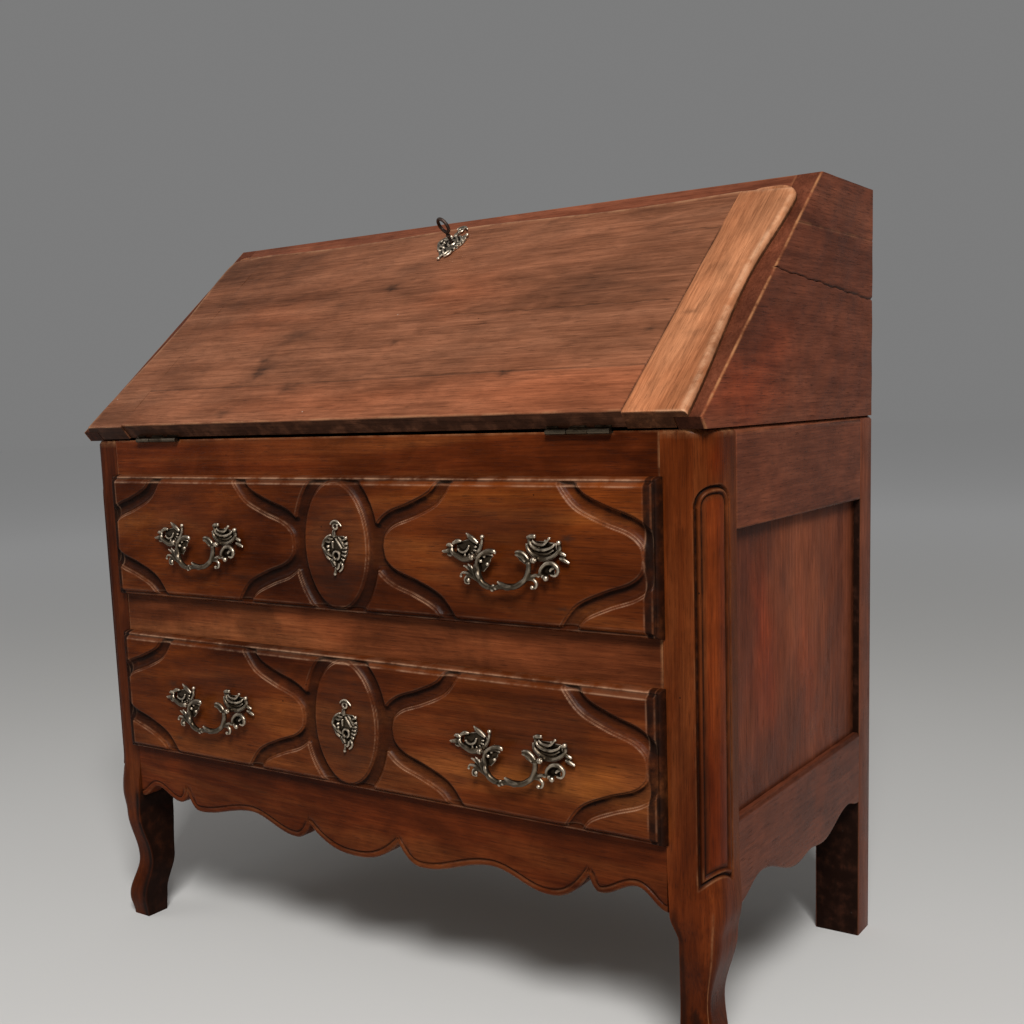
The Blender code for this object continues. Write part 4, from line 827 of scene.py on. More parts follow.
# Fall front
FALL_FACE = 0.024
BOARD_SHORT = 0.003
FALL_INNER_TOP = 0.40596
FALL_INNER_HALF = 0.4665
FALL_TOP = 0.41606
FALL_TOP_WAVE = 0.004
FALL_TOP_WAVE_LENGTH = 0.500
FALL_HALF = 0.4795
FALL_SIDE_WAVE = 0.005
FALL_SIDE_NARROW = 0.60
FALL_CORNER = 0.030
CLEAT_INNER = 0.408
FALL_ROUND = 0.0065        # rounding of the fall's top and side edges
FALL_SHARP = 0.0014        # and of its lower edge
LEAF_COVER = 0.0004        # wood under the hinge leaves
FOOT_SHADE = 0.85           # painted shade on the fall's lower edge face
FALL_GRID = 0.0022
LOCK_X = -0.0145
LOCK_HALF = 0.0353
LOCK_LOW = 0.0683
LOCK_DEEP = 0.0123
PLANK_SEAM = 0.082         # seam of the lower plank, up the fall
SEAMS = {-1: 0.1, 1: 1.0}  # how far the seams to the left and right cleats have opened
# Cracks by their two ends, across and up the fall, and half width
FALL_CRACKS = ((0.048, 0.207, 0.388, 0.200, 0.0006), (0.345, 0.341, 0.404, 0.340, 0.0008),
               (-0.404, 0.349, -0.372, 0.347, 0.0007))
FALL_STAINS = (
    (-0.189, 0.190, 0.026, 0.012, 0.75), (-0.198, 0.121, 0.024, 0.020, 0.55),
    (-0.205, 0.108, 0.010, 0.009, 1.00), (-0.215, 0.135, 0.008, 0.005, 0.90),
    (-0.126, 0.072, 0.018, 0.010, 0.75), (-0.213, 0.025, 0.016, 0.007, 0.70),
    (-0.071, 0.283, 0.022, 0.010, 0.45), (-0.071, 0.283, 0.008, 0.006, 1.00),
    (0.009, 0.154, 0.006, 0.004, 0.90), (0.220, 0.079, 0.009, 0.005, 1.00),
    (0.280, 0.245, 0.060, 0.030, 0.42), (0.358, 0.220, 0.020, 0.010, 0.50),
    (0.388, 0.145, 0.006, 0.004, 0.90), (-0.440, 0.375, 0.050, 0.040, 0.45),
    (0.428, 0.172, 0.009, 0.004, 0.65), (0.443, 0.133, 0.008, 0.006, 0.55),
    (-0.062, 0.323, 0.030, 0.016, 0.35), (-0.396, 0.065, 0.035, 0.020, 0.35),
    (-0.149, 0.254, 0.012, 0.006, 0.40),
)
FALL_WARM = (
    (0.068, 0.255, 0.060, 0.040, 0.25), (0.300, 0.040, 0.160, 0.045, 0.22),
    (-0.050, 0.035, 0.150, 0.030, 0.20), (-0.280, 0.240, 0.080, 0.040, 0.20),
)


def on_fall(u, v, w):
    """Places on the closed fall: u across, v up the slope and w outwards from the hinge axis."""
    return stacked(u, HINGE.y + v * math.cos(SLOPE) - w * math.sin(SLOPE),
                   HINGE.z + v * math.sin(SLOPE) + w * math.cos(SLOPE))


def fall_top(u):
    return FALL_TOP + FALL_TOP_WAVE * np.cos(2 * np.pi * u / FALL_TOP_WAVE_LENGTH)


def fall_side(share):
    below = FALL_HALF + FALL_SIDE_WAVE * np.cos(np.pi * share / FALL_SIDE_NARROW)
    above = FALL_HALF + FALL_SIDE_WAVE * np.cos(np.pi * (1 - share) / (1 - FALL_SIDE_NARROW))
    return np.where(share < FALL_SIDE_NARROW, below, above)


def fall_block(low, high, painted_shade=0.0):
    """A block in the fall's own frame, painted in shade on its lower edge face."""
    (left, foot, inner), (right, head, outer) = low, high
    across, out = np.array((left, right, right, left)), np.array((inner, inner, outer, outer))
    rings = [on_fall(across, v, out) for v in (foot, foot + 0.0015, head)]
    return skin(rings, {"hollow": np.repeat((painted_shade, 0.2 * painted_shade, 0.0), 4)})


def crack_lines(u, v):
    """Nearness to the cracks of the fall."""
    total = np.zeros(np.shape(u))
    for u0, v0, u1, v1, wide in FALL_CRACKS:
        share = np.clip((u - u0) / (u1 - u0), 0, 1)
        off = v - (v0 + (v1 - v0) * share) - 0.0010 * np.sin(90 * u) - 0.0006 * np.sin(250 * u)
        past = np.abs(u - (u0 + (u1 - u0) * share))
        total += bell(off, wide + 0.0005) * bell(past, 0.004) * (0.55 + 0.45 * np.sin(60 * u) ** 2)
    return total


def fall_face(u, v, foot_gap, outer_gap, seam_gap, seam, seed):
    """Outer skin of a part of the fall, rounded at its free edges and nicked along its seams and cracks."""
    w = FALL_FACE - 0.75 * rounded(outer_gap, FALL_ROUND) - 0.75 * rounded(foot_gap, FALL_SHARP)
    opened = seam * bell(seam_gap, 0.0011) * steps(-v, -0.352, -0.330)
    plank = bell(v - PLANK_SEAM - 0.0015 * np.sin(7 * u), 0.0011) * (np.abs(u) < CLEAT_INNER)
    cracks = crack_lines(u, v)
    w -= 0.0009 * opened + 0.0007 * plank + 0.0010 * cracks
    w += 0.0003 * ripple(4 * u, 5 * v, seed) * steps(outer_gap, 0, 0.01)
    lower = steps(-v, -PLANK_SEAM, 0.004 - PLANK_SEAM) * (np.abs(u) < CLEAT_INNER)
    stain_and_shade = spread_over(u, v, FALL_STAINS) + 0.8 * opened + 0.55 * plank + 0.9 * cracks
    warm_and_sheen = spread_over(u, v, FALL_WARM) + lower * (0.08 + 0.12 * steps(u, -0.1, 0.3))
    # painted highlights along the rounded top and side edges and on the lower arris
    wear_and_highlight = 0.55 * bell(outer_gap - 0.0045, 0.0036) + 0.50 * bell(foot_gap, 0.0014)
    front = on_fall(u, v, w)
    rim = rim_of(*u.shape)
    back = on_fall(u.ravel()[rim], v.ravel()[rim], FALL_BACK + GAP)
    # the walls painted in shade
    return relief(front, back, {"wear_and_highlight": wear_and_highlight, "stain_and_shade": stain_and_shade, "warm_and_sheen": warm_and_sheen}, 0.8)


def make_fall_board():
    span = CLEAT_INNER - GAP
    low = FALL_LOW + BOARD_SHORT - LEAF_COVER
    us = np.linspace(-span, span, int(2 * span / FALL_GRID))
    us = np.sort(np.concatenate([us, span - 0.0008 * np.arange(1, 3), 0.0008 * np.arange(1, 3) - span]))
    lines = [np.linspace(0, 0.02, 10), np.linspace(0.02, 0.98, 170), np.linspace(0.98, 1, 11)]
    for up in (PLANK_SEAM, 0.2035, 0.3405):
        lines.append((up - low + np.linspace(-0.0055, 0.0055, 13)) / (FALL_TOP - low))
    ts = np.unique(np.round(np.concatenate(lines), 5))
    u, t = np.meshgrid(us, ts, indexing="ij")
    v = low + t * (fall_top(u) - low)
    seam = np.where(u > 0, SEAMS[1], SEAMS[-1])
    parts = [fall_face(u, v, v - low, fall_top(u) - v, span - np.abs(u), seam, 0.7)]
    deep = FALL_BACK + 2 * GAP
    lock_low = FALL_INNER_TOP - LOCK_LOW
    parts.append(fall_block((-span, low, 0), (span, lock_low, deep), FOOT_SHADE))
    parts.append(fall_block((-span, lock_low, 0), (LOCK_X - LOCK_HALF, FALL_INNER_TOP, deep)))
    parts.append(fall_block((LOCK_X + LOCK_HALF, lock_low, 0), (span, FALL_INNER_TOP, deep)))
    parts.append(fall_block((LOCK_X - LOCK_HALF, lock_low, LOCK_DEEP),
                            (LOCK_X + LOCK_HALF, FALL_INNER_TOP, deep)))
    piece("fall_board_worn", "fall", merged(parts), fall_wood, ["fall_board"], 50)


def cleat_border(count):
    """The four sides of a right-hand cleat, each as a line of count points: bottom, top, inner, outer."""
    corner_v = float(fall_top(FALL_HALF)) - FALL_CORNER
    share = np.linspace(0, 1, count)
    side = stacked(fall_side(share), FALL_LOW + (corner_v - FALL_LOW) * share)
    centre = np.array((float(fall_side(np.array(1.0))) - FALL_CORNER, corner_v))
    turn = np.linspace(0, np.pi / 2, count)
    arc = centre + FALL_CORNER * stacked(np.cos(turn), np.sin(turn))
    u = np.linspace(arc[-1, 0], CLEAT_INNER, count)
    lift = (arc[-1, 1] - fall_top(arc[-1, 0])) * (u - CLEAT_INNER) / (u[0] - CLEAT_INNER)
    rest = stacked(u, fall_top(u) + lift)
    outer = np.vstack([side, arc[1:count // 2]])
    top = np.vstack([arc[count // 2 - 1:], rest[1:]])[::-1]
    bottom = stacked(np.linspace(CLEAT_INNER, side[0, 0], count), FALL_LOW)
    inner = stacked(CLEAT_INNER, np.linspace(FALL_LOW, top[0, 1], count))
    return bottom, top, inner, outer


def make_fall_cleats():
    columns, rows = 44, 190
    bottom, top, inner, outer = cleat_border(200)
    free = np.vstack([outer, top])
    bottom, top = resampled(bottom, columns), resampled(top, columns)
    inner, outer = resampled(inner, rows), resampled(outer, rows)
    s = np.linspace(0, 1, columns)[:, None, None]
    t = np.linspace(0, 1, rows)[None, :, None]
    flat = (1 - t) * bottom[:, None] + t * top[:, None] + (1 - s) * inner[None] + s * outer[None]
    flat -= (1 - s) * (1 - t) * bottom[0] + s * (1 - t) * bottom[-1] + (1 - s) * t * top[0] + s * t * top[-1]
    outer_gap = distance(flat, resampled(free, 4000))
    u, v = flat[..., 0], flat[..., 1]
    deep = FALL_BACK + 2 * GAP
    for word, side in SIDES:
        face = fall_face(side * u, v, v - FALL_LOW, outer_gap, u - CLEAT_INNER, SEAMS[side], 1.9 * side)
        ends = sorted((side * CLEAT_INNER, side * FALL_INNER_HALF))
        back = fall_block((ends[0], FALL_LOW, 0), (ends[1], FALL_INNER_TOP, deep), FOOT_SHADE)
        material = cleat_wood if side > 0 else fall_wood
        piece("fall_cleat_worn_" + word, "fall", merged([face, back]), material,
              ["fall_cleat_" + word], 50)


# Moving leaves of the hinges: a knuckle between the fixed ones, and tabs folded over the barrel
HINGE_X = 0.347
HINGE_LONG = 0.083
KNUCKLE = 0.0031
# Along the knuckle, as shares of the hinge's length and of the knuckle's radius
KNUCKLE_ENDS = ((0.337, 0.8), (0.343, 1), (0.657, 1), (0.663, 0.8))
TABS = ((0.0, 0.18), (0.38, 0.62), (0.76, 1.0))


def make_fall_hinges():
    turn = np.linspace(0, 2 * np.pi, 20, endpoint=False)
    across, up = np.cos(turn), np.sin(turn)
    for word, side in SIDES:
        start = side * HINGE_X - HINGE_LONG / 2
        ends = [start + HINGE_LONG * share for share, _ in KNUCKLE_ENDS]
        radii = [KNUCKLE * share for _, share in KNUCKLE_ENDS]
        rings = [on_fall(u, r * across, r * up) for u, r in zip(ends, radii)]
        parts = [skin(rings)]
        for first, last in TABS:
            low = (start + HINGE_LONG * first, 1.1 * KNUCKLE, 0.4 * KNUCKLE)
            high = (start + HINGE_LONG * last, FALL_LOW + BOARD_SHORT, 1.2 * KNUCKLE)
            parts.append(fall_block(low, high))
        neck = (ends[1], 0.5 * KNUCKLE, 0.1 * KNUCKLE), (ends[2], FALL_LOW + BOARD_SHORT, 0.6 * KNUCKLE)
        parts.append(fall_block(*neck))
        name = "hinge_leaf_fall_" + word
        piece(name + "_worn", "fall", merged(parts), brass, [name])


# Front stiles with their moulded corner panels and cabriole feet. A station of a foot has its height, swing,
# slimming of the inner and rear sides, and width and depth of the rounded corner.
FOOT_STATIONS = (
    (0.000, -0.004, 0.013, 0.030, 0.010, 0.010),
    (0.028, 0.000, 0.012, 0.028, 0.010, 0.010),
    (0.090, -0.014, 0.007, 0.012, 0.007, 0.007),
    (0.165, -0.001, 0.013, 0.003, 0.018, 0.024),
    (0.200, 0.004, 0.004, 0.003, 0.026, 0.034),
    (0.260, 0.000, 0.000, 0.000, CORNER_WIDTH, CORNER_DEPTH),
)
STILE_REAR = FRONT + STILE_DEPTH
FRONT_POINTS = 10          # points of a section on its front, round its corner and along its side
ARC_POINTS = 56
FLAT_POINTS = 20
FIRST_ON_SIDE = 12         # from this point on a section runs back
LAST_ON_FRONT = 40         # and up to this one it runs across
INNER_STEP = 0.003
HEAD_HIGHLIGHT = (0.655, 0.670)  # heights over which the painted highlight on the panel's head sets in, upwards
FOOT_HIGHLIGHT = (0.262, 0.250)  # and those of its foot, and of the leg's painted light and shade, downwards
LEG_SHADING = (0.212, 0.196)
PANEL_FROM = 0.4815        # place across the front where the corner panel starts
PANEL_TO = 0.053           # place along the side where it ends
PANEL_LOW = 0.232
PANEL_LOW_RISE = 0.011
PANEL_SPRING = 0.650
PANEL_TOP_RISE = 0.026
HEAD_FULLNESS = 2.4        # 2 would be an ellipse
PANEL_PROFILE = ((-0.0010, 0.0), (0.0, -0.0002), (0.0008, -0.0032), (0.0026, -0.0036), (0.0041, -0.0016),
                 (0.0050, 0.0004), (0.0060, 0.0008), (0.0072, 0.0006), (0.0080, -0.0002), (0.0087, -0.0018),
                 (0.0099, -0.0019), (0.0140, -0.0005), (0.0300, 0.0004))


def foot_values(height):
    """Swing, slimming of the inner and rear sides and corner sizes of a front stile at a height."""
    for low, high in zip(FOOT_STATIONS, FOOT_STATIONS[1:]):
        if height <= high[0]:
            share = (1 - math.cos(math.pi * (height - low[0]) / (high[0] - low[0]))) / 2
            return [a + (b - a) * share for a, b in zip(low[1:], high[1:])]
    return list(FOOT_STATIONS[-1][1:])


def stile_section(swing, slim, rear_slim, corner_width, corner_depth, chamfer):
    """Level section of the right stile from its inner front edge round to its inner rear edge."""
    inner, outer = OPEN_HALF + slim, HALF + swing - chamfer
    front, rear = FRONT - swing, STILE_REAR - rear_slim
    turn = np.linspace(0, np.pi / 2, ARC_POINTS)
    arc = stacked(outer - corner_width * (1 - np.sin(turn)), front + corner_depth * (1 - np.cos(turn)))
    start = stacked(np.linspace(inner, arc[0, 0], FRONT_POINTS, endpoint=False), front)
    side = stacked(outer, np.linspace(arc[-1, 1], rear, FLAT_POINTS + 1)[1:])
    return np.vstack([start, arc, side, [(inner, rear), (inner, front + INNER_STEP)]])


def stile_heights():
    fine = 0.0009
    low = np.linspace(0, 0.228, 50)
    foot_end = np.arange(0.229, 0.270, fine)
    plain = np.arange(0.275, 0.640, 0.015)
    arch = np.arange(0.640, 0.684, fine)
    high = np.linspace(0.690, CASE_HEIGHT - TOP_CHAMFER, 8)
    return np.concatenate([low, foot_end, plain, arch, high, [CASE_HEIGHT - TOP_CHAMFER / 2, CASE_HEIGHT]])


def panel_head(across):
    """Height of the corner panel's full arched head, from -1 to 1 across it."""
    return PANEL_SPRING + PANEL_TOP_RISE * (1 - np.abs(across) ** HEAD_FULLNESS) ** (1 / HEAD_FULLNESS)


def panel_border(first, last):
    """Border of the corner panel, along the stile's face and up it: arched head, sides and arched foot."""
    middle, half = (first + last) / 2, (last - first) / 2
    across = np.linspace(-1, 1, 240)
    crown = panel_head(across)
    sill = PANEL_LOW + PANEL_LOW_RISE * (1 - across ** 2)
    upright = np.arange(PANEL_LOW, PANEL_SPRING, 0.0006)
    lines = [stacked(middle + half * across, edge) for edge in (crown, sill)]
    return np.vstack(lines + [stacked(end, upright) for end in (first, last)])


def make_front_stiles():
    heights = stile_heights()
    plain = stile_section(0, 0, 0, CORNER_WIDTH, CORNER_DEPTH, 0)
    run = run_of(plain)
    first = np.interp(PANEL_FROM, plain[:LAST_ON_FRONT, 0], run[:LAST_ON_FRONT])
    last = np.interp(FRONT + PANEL_TO, plain[FIRST_ON_SIDE:-2, 1], run[FIRST_ON_SIDE:-2])
    middle, half = (first + last) / 2, (last - first) / 2
    p, z = np.meshgrid(run, heights, indexing="xy")
    share = np.clip((p - middle) / half, -1, 1)
    within = (np.abs(p - middle) < half) & (z < panel_head(share))
    within &= z > PANEL_LOW + PANEL_LOW_RISE * (1 - share ** 2)
    gap = distance(stacked(p, z), panel_border(first, last)) * np.where(within, 1, -1)
    lift = profile(gap, PANEL_PROFILE) * (gap > -0.0010)
    on_bead = bell(gap - 0.0058, 0.0010)
    # painted highlight on the panel's bead at its head, and a faint rubbed line round the panel
    wear_and_highlight = 0.50 * on_bead * steps(z, *HEAD_HIGHLIGHT) + 0.15 * bell(gap + 0.0006, 0.0007)
    wear_and_highlight += 0.8 * steps(z, CASE_HEIGHT - TOP_CHAMFER - 0.002, CASE_HEIGHT - TOP_CHAMFER / 2)
    # painted highlights on the bead and the outer line at the panel's foot
    wear_and_highlight += 0.28 * (on_bead + bell(gap + 0.0008, 0.0009)) * steps(z, *FOOT_HIGHLIGHT)
    # painted shade in the panel's grooves and a little over the panel
    hollow = bell(gap - 0.0020, 0.0019) + 0.85 * bell(gap - 0.0093, 0.0011) + 0.25 * steps(gap, 0.0, 0.0020)
    # inner panel redder, partly as painted sheen of the rounded corner; a painted highlight on the corner
    # above it
    warm_and_sheen = 0.60 * steps(gap, 0.0110, 0.0170) + 0.7 * bell(p - middle, 0.012) * bell(z - 0.702, 0.018)
    leg = steps(z, *LEG_SHADING)
    place = np.broadcast_to(np.arange(len(run)), z.shape)
    # a painted highlight along the leg's ridge
    wear_and_highlight += 0.55 * leg * bell(place - FRONT_POINTS - ARC_POINTS / 2, 2.2)
    # painted shade on the leg's inner front edge and on its inner face
    on_inner = place >= len(run) - 2
    hollow += leg * (0.9 * bell(place - 1.5, 1.4) + on_inner)
    stain_and_shade = 0.30 * steps(p, last, last + 0.006) + 0.7 * leg * on_inner
    # a dark patch low on the right foot's front
    dark_patch_top = 0.088 - 0.9 * np.abs(p - 0.018) + 0.004 * np.sin(900 * p)
    dark_patch = 0.9 * bell(p - 0.022, 0.009) * steps(dark_patch_top - z, 0, 0.004)
    values = {"wear_and_highlight": wear_and_highlight, "hollow": hollow, "warm_and_sheen": warm_and_sheen, "stain_and_shade": stain_and_shade}
    rings = []
    for height, rise in zip(heights, lift):
        chamfer = max(0.0, height - (CASE_HEIGHT - TOP_CHAMFER))
        section = stile_section(*foot_values(height), chamfer)
        face = section + outward(section) * rise[:, None]
        rings.append(np.column_stack([face, np.full(len(face), height)]))
    rings = np.array(rings)
    for word, side in SIDES:
        # the left stile darker all over as painted shade, the right one with its dark patch
        shade = dict(values, hollow=hollow + (0.30 if side < 0 else dark_patch))
        part = skin(rings * (side, 1, 1), shade)
        piece("front_stile_moulded_" + word, "case", part, stile_wood, ["front_stile_" + word], 50)


# Aprons: the front one has a moulded band along its shaped lower edge, the side ones a bevel to their panels
APRON_EDGE = (
    (-0.923, 0.217, False), (-0.815, 0.200, False), (-0.774, 0.216, True), (-0.716, 0.192, False),
    (-0.477, 0.209, False), (-0.288, 0.187, False), (-0.223, 0.209, True), (-0.045, 0.179, False),
    (0.128, 0.210, True), (0.214, 0.184, False), (0.461, 0.207, False), (0.639, 0.187, False),
    (0.770, 0.222, True), (0.804, 0.204, False), (0.912, 0.221, False),
)
APRON_END = 0.198
APRON_TOP = 0.281
APRON_THICK = 0.025
SIDE_APRON_EDGE = (
    (0.154, 0.213, False), (0.442, 0.183, False), (0.550, 0.188, False), (0.659, 0.183, False),
    (0.892, 0.206, False),
)
SIDE_APRON_ENDS = (0.193, 0.197)
SIDE_APRON_TOP = 0.2975
SIDE_FRAME = 0.024
CUSP = 2.4
EDGE_STEPS = 12
BAND = ((0.0, -0.0030), (0.0008, -0.0014), (0.0022, -0.0003), (0.0045, 0.0), (0.0066, -0.0003),
        (0.0074, -0.0018), (0.0086, -0.0019), (0.0098, -0.0002), (0.0110, 0.0))
PLAIN_EDGE = ((0.0, -0.0016), (0.0009, -0.0005), (0.0022, 0.0), (0.0110, 0.0))
PANEL_BEVEL = 0.0040       # height of the bevel
PANEL_BEVEL_DEEP = 0.003


def shaped_edge(stations):
    """Points of a sawn edge through crests, troughs and cusps; it runs level except into a cusp."""
    edge = []
    for (place_a, high_a, cusp_a), (place_b, high_b, cusp_b) in zip(stations, stations[1:]):
        for step in range(EDGE_STEPS):
            share = step / EDGE_STEPS
            if cusp_b and not cusp_a:
                high = high_a + (high_b - high_a) * share ** CUSP
            elif cusp_a and not cusp_b:
                high = high_b + (high_a - high_b) * (1 - share) ** CUSP
            else:
                high = high_a + (high_b - high_a) * (1 - math.cos(math.pi * share)) / 2
            edge.append((place_a + (place_b - place_a) * share, high))
    edge.append(stations[-1][:2])
    return np.array(edge)


def apron(edge, top, thick, place, band, bevel):
    """A board over a shaped edge, moulded along it; place sets across, up and outwards in the room."""
    near = np.arange(0, 0.013, 0.0009)
    shares = np.concatenate([np.linspace(0, 0.9, 12)[1:], np.linspace(0.91, 1, 10)])
    low = edge[:, 1][:, None]
    start = low + near[-1]
    z = np.concatenate([low + near[None], start + shares[None] * (top - start)], axis=1)
    a = np.broadcast_to(edge[:, 0][:, None], z.shape)
    gap = distance(stacked(a, z), resampled(edge, 6000))
    sunk_band = band is BAND
    to_top = top - z
    lift = profile(gap, band) - bevel * np.clip(1 - to_top / PANEL_BEVEL, 0, 1)
    wear_and_highlight = (0.30 if sunk_band else 0.2) * bell(gap - 0.0010, 0.0012)
    wear_and_highlight += 0.15 * sunk_band * bell(gap - 0.0062, 0.0010)
    # the band's groove darker, and the side aprons' bevel painted in shade
    slope = (bevel > 0) * bell(to_top - 0.5 * PANEL_BEVEL, 0.6 * PANEL_BEVEL)
    hollow = 0.9 * sunk_band * bell(gap - 0.0080, 0.0012) + 0.6 * slope
    front = place(a, z, lift)
    rim = rim_of(*z.shape)
    back = place(a.ravel()[rim], z.ravel()[rim], -thick)
    return relief(front, back, {"wear_and_highlight": wear_and_highlight, "hollow": hollow})


def make_aprons():
    span = OPEN_HALF - GAP
    stations = [(-span, APRON_END, False)]
    stations += [(span * share, high, cusp) for share, high, cusp in APRON_EDGE] + [(span, APRON_END, False)]

    def on_front(a, z, lift):
        return stacked(a, FRONT - lift, z)

    part = apron(shaped_edge(stations), APRON_TOP, APRON_THICK, on_front, BAND, 0.0)
    piece("front_apron_moulded", "case", part, rail_wood, ["front_apron"], 50)
    near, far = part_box("side_apron_left")[0].y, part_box("side_apron_left")[1].y
    stations = [(near, SIDE_APRON_ENDS[0], False)]
    stations += [(near + (far - near) * share, high, cusp) for share, high, cusp in SIDE_APRON_EDGE]
    edge = shaped_edge(stations + [(far, SIDE_APRON_ENDS[1], False)])
    for word, side in SIDES:
        def on_side(a, z, lift, side=side):
            return stacked(side * (HALF + lift), a, z)

        part = apron(edge, SIDE_APRON_TOP, SIDE_FRAME, on_side, PLAIN_EDGE, PANEL_BEVEL_DEEP)
        piece("side_apron_moulded_" + word, "case", part, side_wood, ["side_apron_" + word], 50)


# Cast brass, fused from bars and beads. On a casting, places are across, up and outwards, in millimetres.
CAST_GRAIN = 0.00075
EASE_FINE = 3              # rounds of smoothing of a casting
EASE_BROAD = 14            # and of the broad form that its edges stand out from
OUTWARDS = (0, 0, 1)
CIRCLE = np.linspace(0, 2 * np.pi, 12, endpoint=False)       # turns of the points round a bar or bead
LEAST_RADIUS = 0.3


def bar(stations, radii, flat=1.0, up=OUTWARDS, ends=True, soft=5):
    """A bar along a soft line through a few stations, with a radius at each; flat thins it along up."""
    full = smooth_line(np.column_stack([np.asarray(stations, float), radii]), soft)
    if not ends:
        full = full[:-1]
    places, radius = full[:, :3], np.maximum(full[:, 3], LEAST_RADIUS)
    along = np.gradient(places, axis=0) if ends else np.roll(places, -1, 0) - np.roll(places, 1, 0)
    side = np.cross(along, up)
    side /= np.linalg.norm(side, axis=1, keepdims=True)
    across, out = np.cos(CIRCLE)[None, :, None], np.sin(CIRCLE)[None, :, None]
    section = across * side[:, None] + flat * out * np.asarray(up)
    return skin(places[:, None] + radius[:, None, None] * section, ends=ends)


def flat_bar(stations, radii, out, flat=1.0):
    """A bar in one plane, at one distance outwards."""
    return bar([(x, z, out) for x, z in stations], radii, flat)


def bead(x, z, out, radius, flat=1.0):
    lean = np.radians(np.linspace(-84, 84, 9))
    rings = [stacked(x + radius * np.cos(a) * np.cos(CIRCLE), z + radius * np.cos(a) * np.sin(CIRCLE),
                     out + flat * radius * np.sin(a)) for a in lean]
    return skin(rings)


def ring(x, z, out, radius, wire):
    turn = np.linspace(0, 2 * np.pi, 19)
    circle = [(x + radius * math.cos(a), z + radius * math.sin(a), out) for a in turn]
    return bar(circle, [wire] * len(circle), ends=False, soft=2)


def cast(shapes, ground):
    """One skin round overlapping bars and beads.

    It is dark in its hollows, for patina and painted shade, and below ground as painted shade, and it is
    bright where it stands out, for rubbing and painted highlights.
    """
    whole = merged(shapes)
    mesh = bpy.data.meshes.new("casting")
    mesh.from_pydata((whole.points * MM).tolist(), [], whole.faces)
    item = linked("casting", mesh)
    fuse = item.modifiers.new("fuse", "REMESH")
    fuse.mode = "VOXEL"
    fuse.voxel_size = CAST_GRAIN
    fused = bpy.data.meshes.new_from_object(item.evaluated_get(bpy.context.evaluated_depsgraph_get()))
    bpy.data.objects.remove(item)
    count = len(fused.vertices)
    points = np.array([vert.co for vert in fused.vertices])
    edges = np.array([edge.vertices for edge in fused.edges])
    faces = [tuple(face.vertices) for face in fused.polygons]
    bpy.data.meshes.remove(fused)
    links = np.bincount(edges.ravel(), minlength=count)[:, None]

    def eased(places):
        total = np.zeros_like(places)
        np.add.at(total, edges[:, 0], places[edges[:, 1]])
        np.add.at(total, edges[:, 1], places[edges[:, 0]])
        return places + 0.5 * (total / links - places)

    for _ in range(EASE_FINE):
        points = eased(points)
    broad = points
    for _ in range(EASE_BROAD):
        broad = eased(broad)
    stands_out = np.sum((points - broad) * outward_normals(points, faces), axis=1)
    # bright where it stands out, for rubbing and painted highlights; dark in hollows for patina and painted
    # shade
    wear_and_highlight = 0.85 * steps(stands_out, 0.00010, 0.00048)
    hollow = 0.95 * steps(-stands_out, 0.00001, 0.00022)
    hollow += 0.85 * steps(-points[:, 2], -ground * MM, (1.5 - ground) * MM)
    return Shape(points, faces, {"wear_and_highlight": wear_and_highlight, "hollow": hollow, "stain_and_shade": 0 * hollow, "warm_and_sheen": 0 * hollow})


def outward_normals(points, faces):
    normals = np.zeros_like(points)
    for size in {len(face) for face in faces}:
        rings = np.array([face for face in faces if len(face) == size])
        corners = points[rings]
        across = np.cross(corners[:, 2] - corners[:, 0], corners[:, size - 1] - corners[:, 1])
        for k in range(size):
            np.add.at(normals, rings[:, k], across)
    return normals / np.maximum(np.linalg.norm(normals, axis=1, keepdims=True), 1e-12)


def on_wall(part):
    """A casting hung on an upright face, with its middle on the origin."""
    return shape(part.points[:, (0, 2, 1)] * (1, -1, 1), part.faces, part.values)


# Handles: two crescent mounts and a swinging bail, the same casting four times
HANDLE_X = 0.256
HANDLE_DROP = 0.004        # pivot below the middle of the field
PIVOT = 14.5
LUGS = (-39.5, 44.5)       # eyes that carry the pins of the bail
STOUT = 1.2                # thickness of the limbs against their drawing
WEB = 0.18                 # thickness of the plates behind the limbs against their width


def limb(stations, radii, out, flat=1.0):
    return flat_bar(stations, [STOUT * r for r in radii], out, flat)


def web(stations, radii, out):
    return flat_bar(stations, radii, out, WEB)


def knob(x, z, out, radius):
    return bead(x, z, out, STOUT * radius)


def lug(x):
    """Eye on its post."""
    return [bar([(x - 2.4, 0, PIVOT), (x + 2.4, 0, PIVOT)], [3.6, 3.6]),
            bar([(x, -0.5, 1.0), (x, 0, 7.0), (x, 0, PIVOT)], [3.4, 2.8, 2.6], up=(0, 1, 0))]


